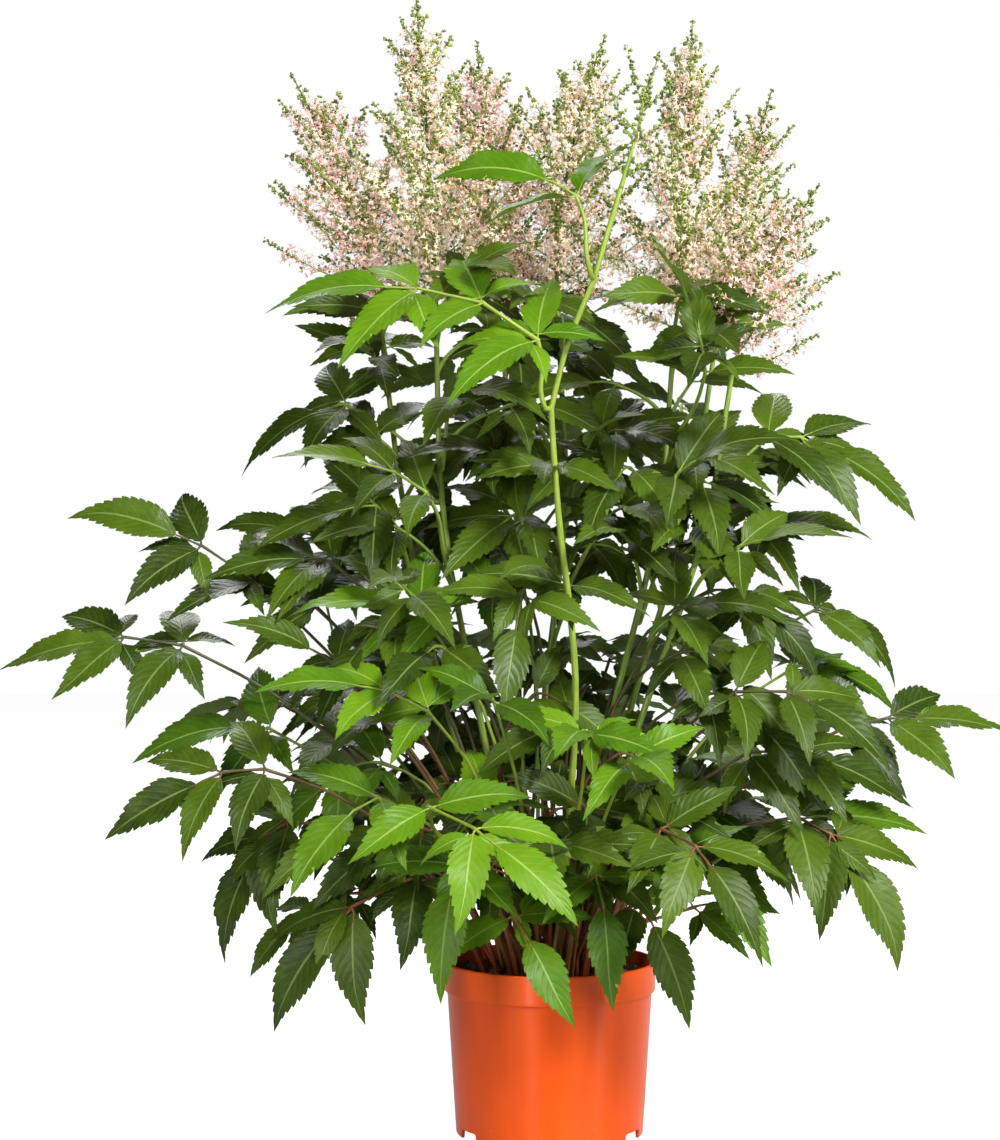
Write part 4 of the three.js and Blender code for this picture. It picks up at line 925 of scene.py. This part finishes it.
LEAF_DARK = leaf_material("leaf_dark_green", (23, 40, 2), (72, 96, 12), (128, 150, 82), (100, 128, 44))
LEAF_MID = leaf_material("leaf_mid_green", (36, 68, 2), (80, 116, 10), (140, 166, 84), (110, 142, 42))
LEAF_BRIGHT = leaf_material("leaf_bright_green", (58, 97, 4), (94, 133, 12), (154, 182, 92), (126, 158, 44))
STALK_GREEN = stalk_material("stalk_green", (136, 164, 56), (98, 120, 42))
STALK_DARK = stalk_material("stalk_dark", (84, 92, 42), (52, 44, 26), red_to=0.34)
STALK_OLIVE = stalk_material("stalk_olive", (96, 104, 44), (60, 56, 30))
STALK_YOUNG = stalk_material("stalk_young", (142, 164, 52), (112, 138, 38))
PINK = petal_material("petals_pink", (253, 226, 220), (243, 180, 168), (212, 186, 112))
CREAM = petal_material("petals_cream", (250, 236, 206), (240, 192, 176), (196, 194, 92))
PEDICEL = stalk_material("pedicel_green", (160, 180, 48), (112, 134, 30), 0.0, 0.001)
BUD_GREEN = bud_material("buds_green", (62, 88, 22), (118, 136, 42), (196, 205, 120))
POT = pot_material()
SOIL = soil_material("potting_soil_brown", (34, 19, 11), (84, 50, 31), (134, 92, 60))
BARK = soil_material("bark_chips", (84, 50, 28), (140, 88, 52), (190, 142, 104))

TONES = {"leaf_dark": (LEAF_DARK, STALK_DARK), "leaf_mid": (LEAF_MID, STALK_GREEN),
         "leaf_bright": (LEAF_BRIGHT, STALK_YOUNG)}


# Pot, in mm

RIM_RADIUS, POT_HEIGHT, WALL_TOP, FOOT_RADIUS = 75.0, 121.0, 100.0, 66.0
SLOPE, WALL = 0.064, 1.7           # how the wall widens with height, and its thickness
FLOOR_UNDER, FLOOR_TOP = 6.5, 8.2
PAD_RADIUS, PAD_UNDER = 12, 0.6
NOTCH, NOTCH_ROUNDING = (20, 11, 13), 1.8
HOLE_RADIUS, HOLE_CIRCLE = 5, 38
OPENINGS = 6                       # notches, and holes


def lathe(profile, sides):
    """A closed skin from a profile of (radius, height) in mm that starts and ends on the axis."""
    work = bmesh.new()
    rows = []
    for radius, height in profile:
        corners = [work.verts.new((radius * MM * math.cos(a), radius * MM * math.sin(a), height * MM))
                   for a in steps_round(sides if radius else 1)]
        rows.append(corners if radius else corners * sides)
    for low, high in zip(rows, rows[1:]):
        for k in range(sides):
            n = (k + 1) % sides
            corners = list(dict.fromkeys([low[k], low[n], high[n], high[k]]))
            if len(corners) > 2:
                work.faces.new(corners)
    bmesh.ops.recalc_face_normals(work, faces=work.faces)
    return mesh_of(work, "lathe")


def rounded(corners, steps=4):
    """A profile of (radius, height) with its corners rounded, each by its own third number."""
    out = [np.array(corners[0][:2], float)]
    for before, here, after in zip(corners, corners[1:], corners[2:]):
        p, q, r = (np.array(c[:2], float) for c in (before, here, after))
        cut = min(here[2], 0.45 * norm(p - q), 0.45 * norm(r - q))
        out += [*bezier([q + unit(p - q) * cut, q, q + unit(r - q) * cut], np.linspace(0, 1, steps + 1))]
    out.append(np.array(corners[-1][:2], float))
    return [(max(float(x), 0.0), float(y)) for x, y in out]


def notch_cutter(spin):
    """A block through the foot's skirt, rounded at its corners and turned about the pot's axis."""
    work = bmesh.new()
    bmesh.ops.create_cube(work, size=1.0)
    bmesh.ops.scale(work, vec=[s * MM for s in NOTCH], verts=work.verts)
    radial = [e for e in work.edges if abs((e.verts[0].co - e.verts[1].co).normalized().y) > 0.9]
    bmesh.ops.bevel(work, geom=radial, offset=NOTCH_ROUNDING * MM, segments=4, affect="EDGES", profile=0.5)
    bmesh.ops.translate(work, vec=(0, -FOOT_RADIUS * MM, 0), verts=work.verts)
    for corner in work.verts:
        x, y, z = corner.co
        corner.co = (x * math.cos(spin) - y * math.sin(spin), x * math.sin(spin) + y * math.cos(spin), z)
    return mesh_of(work, "cutter")


def cut_by(mesh, cutters):
    """The mesh with each cutter's volume taken out."""
    body = link("body", mesh)
    tools = [link("tool", cutter) for cutter in cutters]
    for tool in tools:
        step = body.modifiers.new("cut", "BOOLEAN")
        step.operation, step.solver, step.object = "DIFFERENCE", "EXACT", tool
    bpy.context.view_layer.update()
    done = bpy.data.meshes.new_from_object(body.evaluated_get(bpy.context.evaluated_depsgraph_get()))
    for thing in [body, *tools]:
        bpy.data.objects.remove(thing)
    return done


def make_pot():
    wall_top, wall_low = FOOT_RADIUS + SLOPE * WALL_TOP, FOOT_RADIUS + SLOPE * FLOOR_TOP
    profile = rounded([
        (0, PAD_UNDER, 0), (PAD_RADIUS - 1, PAD_UNDER, 1), (PAD_RADIUS, FLOOR_UNDER, 1),
        (FOOT_RADIUS - 2.6, FLOOR_UNDER, 1.2), (FOOT_RADIUS - 2, 0, 0.5), (FOOT_RADIUS, 0, 0.7),
        (wall_top, WALL_TOP, 0.5), (RIM_RADIUS - 0.5, WALL_TOP, 0.9), (RIM_RADIUS - 0.25, WALL_TOP + 2, 1),
        (RIM_RADIUS - 0.1, POT_HEIGHT - 3.6, 1), (RIM_RADIUS, POT_HEIGHT - 2.4, 0.8),
        (RIM_RADIUS, POT_HEIGHT - 0.4, 0.8), (RIM_RADIUS - 2.2, POT_HEIGHT, 0.9),
        (RIM_RADIUS - 2.4, WALL_TOP + 3, 1.5), (wall_top - WALL, WALL_TOP - 2, 1.5),
        (wall_low - WALL, FLOOR_TOP, 2), (0, FLOOR_TOP, 0),
    ])
    cutters = []
    for spin in steps_round(OPENINGS):
        cutters.append(notch_cutter(spin))
        hole = lathe([(0, 3), (HOLE_RADIUS, 3), (HOLE_RADIUS, 12), (0, 12)], 28)
        hole.transform(Matrix.Translation(flat(spin) * HOLE_CIRCLE * MM))
        cutters.append(hole)
    mesh = cut_by(lathe(profile, 128), cutters)
    mesh.materials.clear()
    add_piece("pot_moulded", mesh, [POT], ["pot"], 38)


# Soil, in mm

CRUMBS, CHIPS = 1700, 320


def polar(radius, angle, height):
    return np.stack([radius * np.cos(angle), radius * np.sin(angle), height], 1)


def soil_height(radius, angle):
    """Height of the CAD soil's surface."""
    lumps = np.sin(radius * 0.23 + 3 * angle) + np.sin(radius * 0.11 - 5 * angle + 1)
    return 110 + 4 * (1 - (radius / RIM_RADIUS) ** 2) + 0.8 * lumps


def rough_soil(rng):
    """A function for the soil's height, with waves of many lengths over the CAD surface."""
    waves = rng.uniform(0, TURN, (14, 3))
    directions = rng.normal(0, 1, (14, 2)) * np.geomspace(0.06, 0.5, 14)[:, None]

    def surface(radius, angle):
        x, y = radius * np.cos(angle), radius * np.sin(angle)
        rough = sum(math.cos(w[2]) * np.sin(d[0] * x + d[1] * y + w[0]) / (1 + 3 * norm(d))
                    for d, w in zip(directions, waves))
        return soil_height(radius, angle) + 0.55 * rough * np.clip((72.3 - radius) / 4, 0.2, 1)

    return surface


def strewn(surface, count, reach, rng):
    """Random places on the soil, out to a radius."""
    radius, angle = reach * np.sqrt(rng.random(count)), rng.uniform(0, TURN, count)
    return polar(radius, angle, surface(radius, angle))


def make_soil(surface, rng):
    shape = Shape()
    angle = steps_round(120)
    rings = [polar(radius, angle, np.full(len(angle), height))
             for radius, height in ((64.6, 8.6), (70.3, 97.0), (72.1, 103.5))]
    rings += [polar(radius, angle, surface(radius, angle)) for radius in np.linspace(72.2, 1.5, 30)]
    points = np.concatenate(rings) * MM
    shape.add(points, points * (1, 1, 0), skin_faces(len(rings), len(angle)))
    crumbs = strewn(surface, CRUMBS, 71.5, rng) * MM
    size = rng.gamma(2.0, 0.55, len(crumbs)).clip(0.4, 3.4) * MM
    scatter(shape, BALL, crumbs, rng.normal(0, 1, crumbs.shape), size, rng, 0)
    shape.make("soil_crumbs", [SOIL], ["soil"])


def make_bark(surface, rng):
    chips = Shape()
    for place in (strewn(surface, CHIPS, 70, rng) + UP * 0.4) * MM:
        heading = unit([*rng.normal(0, 1, 2), rng.normal(0, 0.25)])
        length = rng.gamma(2.2, 1.6) * MM + 2 * MM
        bend = rng.normal(0, 0.12, 3) * length
        path = smooth_path([place - heading * length / 2, place + bend, place + heading * length / 2], 2)
        path[:, 2] = np.maximum(path[:, 2], place[2] - 0.6 * MM)
        width = rng.uniform(0.18, 0.75) * MM
        tube(chips, path, width * np.array([0.5, 0.9, 1.0, 0.85, 0.4]), 5, rng.random())
    chips.make("soil_bark_and_fibres", [BARK], sharp=40)


# Plant

record_slots = {part["node"]: part["material_slot"] for part in frame["record"]["subparts"]}
box_low, box_high = np.array(cad_box[0]), np.array(cad_box[1])


def make_crown_leaf(number):
    node = f"leaf_{number}"
    slot = record_slots[node]
    rng = np.random.default_rng(100 + number)
    shape = Shape()
    for frond in fronds_of(node)[2]:
        draw_frond(shape, frond, rng)
    shape.make(f"frond_{number}", TONES[slot], [node], LEAF_CREASE)


def make_stem(number):
    """A flower stem with its leaves. Gives back its line."""
    node = f"flower_stem_{number}"
    slot = record_slots[node]
    rng = np.random.default_rng(200 + number)
    stem, fronds = stem_of(node)
    shape = Shape()
    path = smooth_path(stem, 6)
    tube(shape, path[:, :3], path[:, 3] * 0.84, 12, rng.random(), STALK_SLOT, FRONT, flute=0.03)
    for frond in fronds:
        draw_frond(shape, frond, rng)
    stalk = STALK_YOUNG if slot == "leaf_bright" else STALK_GREEN
    shape.make(f"leafy_stem_{number}", [TONES[slot][0], stalk], [node], LEAF_CREASE)
    return path


# Further leaves that fill the bush between those of the CAD. For each of them a function says where it
# starts, where its leaflets begin, where it ends, how many pairs of leaflets it has and how long they are.

INNER_SPREAD = np.array([1.15, 0.95, 1])          # to the sides, and to the front and back
SHOULDER = (0.33, 0.4, 0.37, 0.41, 0.39, 0.3)     # heights of its leaves
# For each piece of stem foliage: its stems in turn, and the heights between which its leaves grow
STEM_FOLIAGE = (((0, 1, 2, 3, 5, 6), 0.3, 0.54), ((0, 1, 2, 3, 5, 6), 0.36, 0.56),
                ((2, 3, 5, 3, 5), 0.36, 0.56))


def further(head, out, reach, rise, rng):
    """The tip of a leaf, further out by a distance and up by another, each drawn from a range in mm."""
    return head + out * rng.uniform(*reach) * MM + UP * rng.uniform(*rise) * MM


def inner_leaf(k, rng):
    """Low down from the crown, all round."""
    out = flat(k * GOLDEN_ANGLE + rng.uniform(-0.2, 0.2))
    radius = rng.uniform(50, 128) * MM
    height = rng.uniform(0.16, 0.41) - 0.3 * max(radius - 0.1, 0) - 0.5 * max(out[0] * radius - 0.05, 0)
    head = out * radius * INNER_SPREAD + UP * height
    tip = np.clip(further(head, out * INNER_SPREAD, (70, 95), (-60, 25), rng), box_low + 0.02, box_high)
    start = out * rng.uniform(12, 42) * MM + CROWN
    return start, head, tip, int(rng.integers(1, 3)), rng.uniform(54, 68) * MM


def shoulder_leaf(k, rng):
    """On the left shoulder of the bush, where the long leaves spread."""
    out = np.array([-1, -0.45 + 0.18 * k, 0])
    head = out * rng.uniform(125, 168) * MM + UP * SHOULDER[k]
    tip = further(head, unit(out), (60, 80), (-5, 50), rng)
    return out * 24 * MM + CROWN, head, tip, 1 + k % 2, rng.uniform(54, 66) * MM


def heart_leaf(k, rng):
    """In the dark heart of the bush, behind the stalks, where leaves shade each other."""
    out = flat(math.radians(blend(20, 160, (k * 5 % 9) / 8) + rng.uniform(-6, 6)))
    head = out * rng.uniform(42, 78) * MM + UP * blend(0.17, 0.33, k / 8)
    tip = further(head, unit([rng.uniform(-1, 1), 0.25, 0]), (50, 70), (-25, 20), rng)
    return out * 30 * MM + CROWN, head, tip, 1 + k % 2, rng.uniform(50, 62) * MM


def front_leaf(k, rng):
    """In front of the stalks, which it crosses."""
    out = np.array([blend(-0.8, 0.9, (k * 5 % 7) / 6), -1, 0])
    head = out * rng.uniform(38, 58) * MM + UP * blend(0.19, 0.31, k / 6)
    tip = further(head, unit([(-1) ** k, -0.35, 0]), (56, 72), (-30, 5), rng)
    return out * 20 * MM + CROWN, head, tip, 1, rng.uniform(48, 60) * MM


def stem_leaf(group, k, rng):
    """Higher up, from the flower stems, not far to the left or right of them."""
    stems, lowest, highest = STEM_FOLIAGE[group]
    line = stem_lines[stems[k % len(stems)]]
    height = rng.uniform(lowest, highest)
    pivot = line[np.argmin(abs(line[:, 2] - height)), :3]
    angle = k * GOLDEN_ANGLE + group
    out = unit([math.cos(angle), 0.8 * math.sin(angle) - 0.25, 0])
    head = further(pivot, out, (30, 58), (28, 50), rng)
    tip = further(head, out, (56, 80), (-30, 30), rng)
    head[0], tip[0] = np.clip(head[0], -0.12, 0.1), np.clip(tip[0], -0.14, 0.115)
    return pivot, head, tip, 1 + (k % 3 == 0), rng.uniform(52, 66) * MM


def fill(name, seed, numbers, leaf, slot="leaf_dark", stalk=None, share=0.5):
    """A piece of further leaves, one for each number, which the function leaf places."""
    rng = np.random.default_rng(seed)
    shape = Shape()
    for k in numbers:
        draw_frond(shape, grow_frond(*leaf(k, rng), rng), rng, share, fine=False)
    shape.make(name, [TONES[slot][0], stalk or TONES[slot][1]], (), LEAF_CREASE)


LOWEST_RACEMES = 0.034             # how far below the CAD plume they grow
# Petals, stalk, and along a raceme: where its buds begin, and the share of buds among the open florets
STYLES = {"plume_pink": (PINK, STALK_OLIVE, 0.8, 0.14), "plume_cream": (CREAM, STALK_OLIVE, 0.76, 0.2),
          "plume_bud": (CREAM, STALK_YOUNG, 0.12, 0.9)}
# Reach of the further racemes at the foot and at the top of each plume, as shares of its longest raceme
# below the spire
REACHES = {1: (0.8, 0.22), 2: (1.0, 0.14), 3: (1.05, 0.55), 4: (1.1, 0.55), 6: (1.0, 0.25), 7: (0.72, 0.2),
           8: (0.9, 0.25)}


def make_plume(number):
    node = f"plume_{number}"
    slot = record_slots[node]
    rng = np.random.default_rng(300 + number)
    petals, stalk, buds_from, bud_share = STYLES[slot]
    spine, racemes = plume_of(node)
    shape = Shape()
    path = smooth_path(spine[:, :3], 3)
    tube(shape, path, np.linspace(1.7, 0.4, len(path)) * MM, 8, rng.random(), AXIS_SLOT, FRONT)
    if number in REACHES:
        stem, foot = stem_lines[number - 1], spine[0, 2]
        below = stem[(stem[:, 2] < foot - 0.004) & (stem[:, 2] > foot - LOWEST_RACEMES)]
        racemes = racemes + extra_racemes(np.vstack([below, spine]), racemes, rng, REACHES[number])
    for line in racemes:
        draw_raceme(shape, line, rng, buds_from, bud_share)
    shape.make(f"bloom_{number}", [petals, PEDICEL, BUD_GREEN, stalk], [node])


make_pot()
soil_rng = np.random.default_rng(7)
soil_surface = rough_soil(soil_rng)
make_soil(soil_surface, soil_rng)
make_bark(soil_surface, soil_rng)
for number in range(1, CROWN_LEAVES + 1):
    make_crown_leaf(number)
stem_lines = [make_stem(number) for number in range(1, STEMS + 1)]
for group, (slot, count) in enumerate((("leaf_dark", 12), ("leaf_mid", 7), ("leaf_dark", 12))):
    fill(f"inner_fronds_{group + 1}", 400 + group, range(group, group + 3 * count, 3), inner_leaf, slot)
fill("shoulder_fronds", 450, range(6), shoulder_leaf)
fill("heart_fronds", 470, range(9), heart_leaf)
fill("front_fronds", 480, range(7), front_leaf)
for group in range(3):
    leaf = partial(stem_leaf, group)
    fill(f"stem_foliage_{group + 1}", 500 + group, range(16), leaf, stalk=STALK_GREEN, share=0.3)
for number in range(1, STEMS + 1):
    make_plume(number)


# Studio

PHOTO_HEIGHT, PIXEL = 1140, 0.7075 # pixels, and the size of one in mm at the pot's axis
SENSOR = 36.0
CAMERA = (-0.035, -1.65, 0.396)


def make_floor():
    """A pale round floor, seen white and mirrored faintly."""
    work = bmesh.new()
    bmesh.ops.create_circle(work, cap_ends=True, segments=96, radius=6.0)
    mesh = mesh_of(work, "floor")
    p = Paint("floor_pale")
    ray = p.node("ShaderNodeLightPath").outputs
    glow = p.math("MAXIMUM", p.times(ray["Is Camera Ray"], 0.95), p.times(ray["Is Glossy Ray"], 0.28))
    mesh.materials.append(p.finish({"Base Color": (0.32, 0.32, 0.32, 1), "Roughness": 0.9,
                                    "Emission Color": (1, 1, 1, 1), "Emission Strength": glow}))
    link("floor", mesh)


def add_area(name, at, target_height, size, power, tall=None):
    """A round soft light, or an upright strip where tall is given, aimed at the plant's axis."""
    light = bpy.data.lights.new(name, "AREA")
    light.shape, light.size, light.energy = "RECTANGLE" if tall else "DISK", size, power
    if tall:
        light.size_y = tall
    lamp = link(name, light)
    lamp.location = at
    lamp.rotation_mode = "QUATERNION"
    lamp.rotation_quaternion = (Vector((0, 0, target_height)) - Vector(at)).to_track_quat("-Z", "Y")


def make_world():
    """White where the camera sees it, and dim as a light."""
    world = bpy.data.worlds.new("studio")
    bpy.context.scene.world = world
    world.use_nodes = True
    tree = world.node_tree
    sky = tree.nodes["Background"]
    sky.inputs["Color"].default_value = (1, 1, 1, 1)
    seen_directly = tree.nodes.new("ShaderNodeLightPath").outputs["Is Camera Ray"]
    brightness = tree.nodes.new("ShaderNodeMapRange")
    brightness.inputs["To Min"].default_value = 0.035
    brightness.inputs["To Max"].default_value = 1.0
    tree.links.new(seen_directly, brightness.inputs["Value"])
    tree.links.new(brightness.outputs["Result"], sky.inputs["Strength"])


def make_camera():
    """The photo's view, level and straight from the front."""
    lens = bpy.data.cameras.new("camera")
    lens.sensor_width = SENSOR
    lens.lens = SENSOR * -CAMERA[1] / (PHOTO_HEIGHT * PIXEL * MM)
    lens.clip_start, lens.clip_end = 0.05, 50
    camera = link("camera", lens)
    camera.location = CAMERA
    camera.rotation_euler = (math.radians(90), 0, 0)
    bpy.context.scene.camera = camera


make_floor()
add_area("key", (1.3, -1.9, 2.1), 0.4, 0.8, 118)
add_area("fill", (-1.8, -1.8, 1.3), 0.4, 0.8, 15)
add_area("back", (-0.3, 1.9, 2.0), 0.5, 1.3, 34)
add_area("strip_left", (-0.72, -1.75, 0.75), 0.3, 0.13, 15, 1.5)
add_area("strip_right", (1.45, -0.95, 0.75), 0.3, 0.13, 15, 1.5)
make_world()
bpy.context.scene.view_settings.view_transform = "Standard"
make_camera()
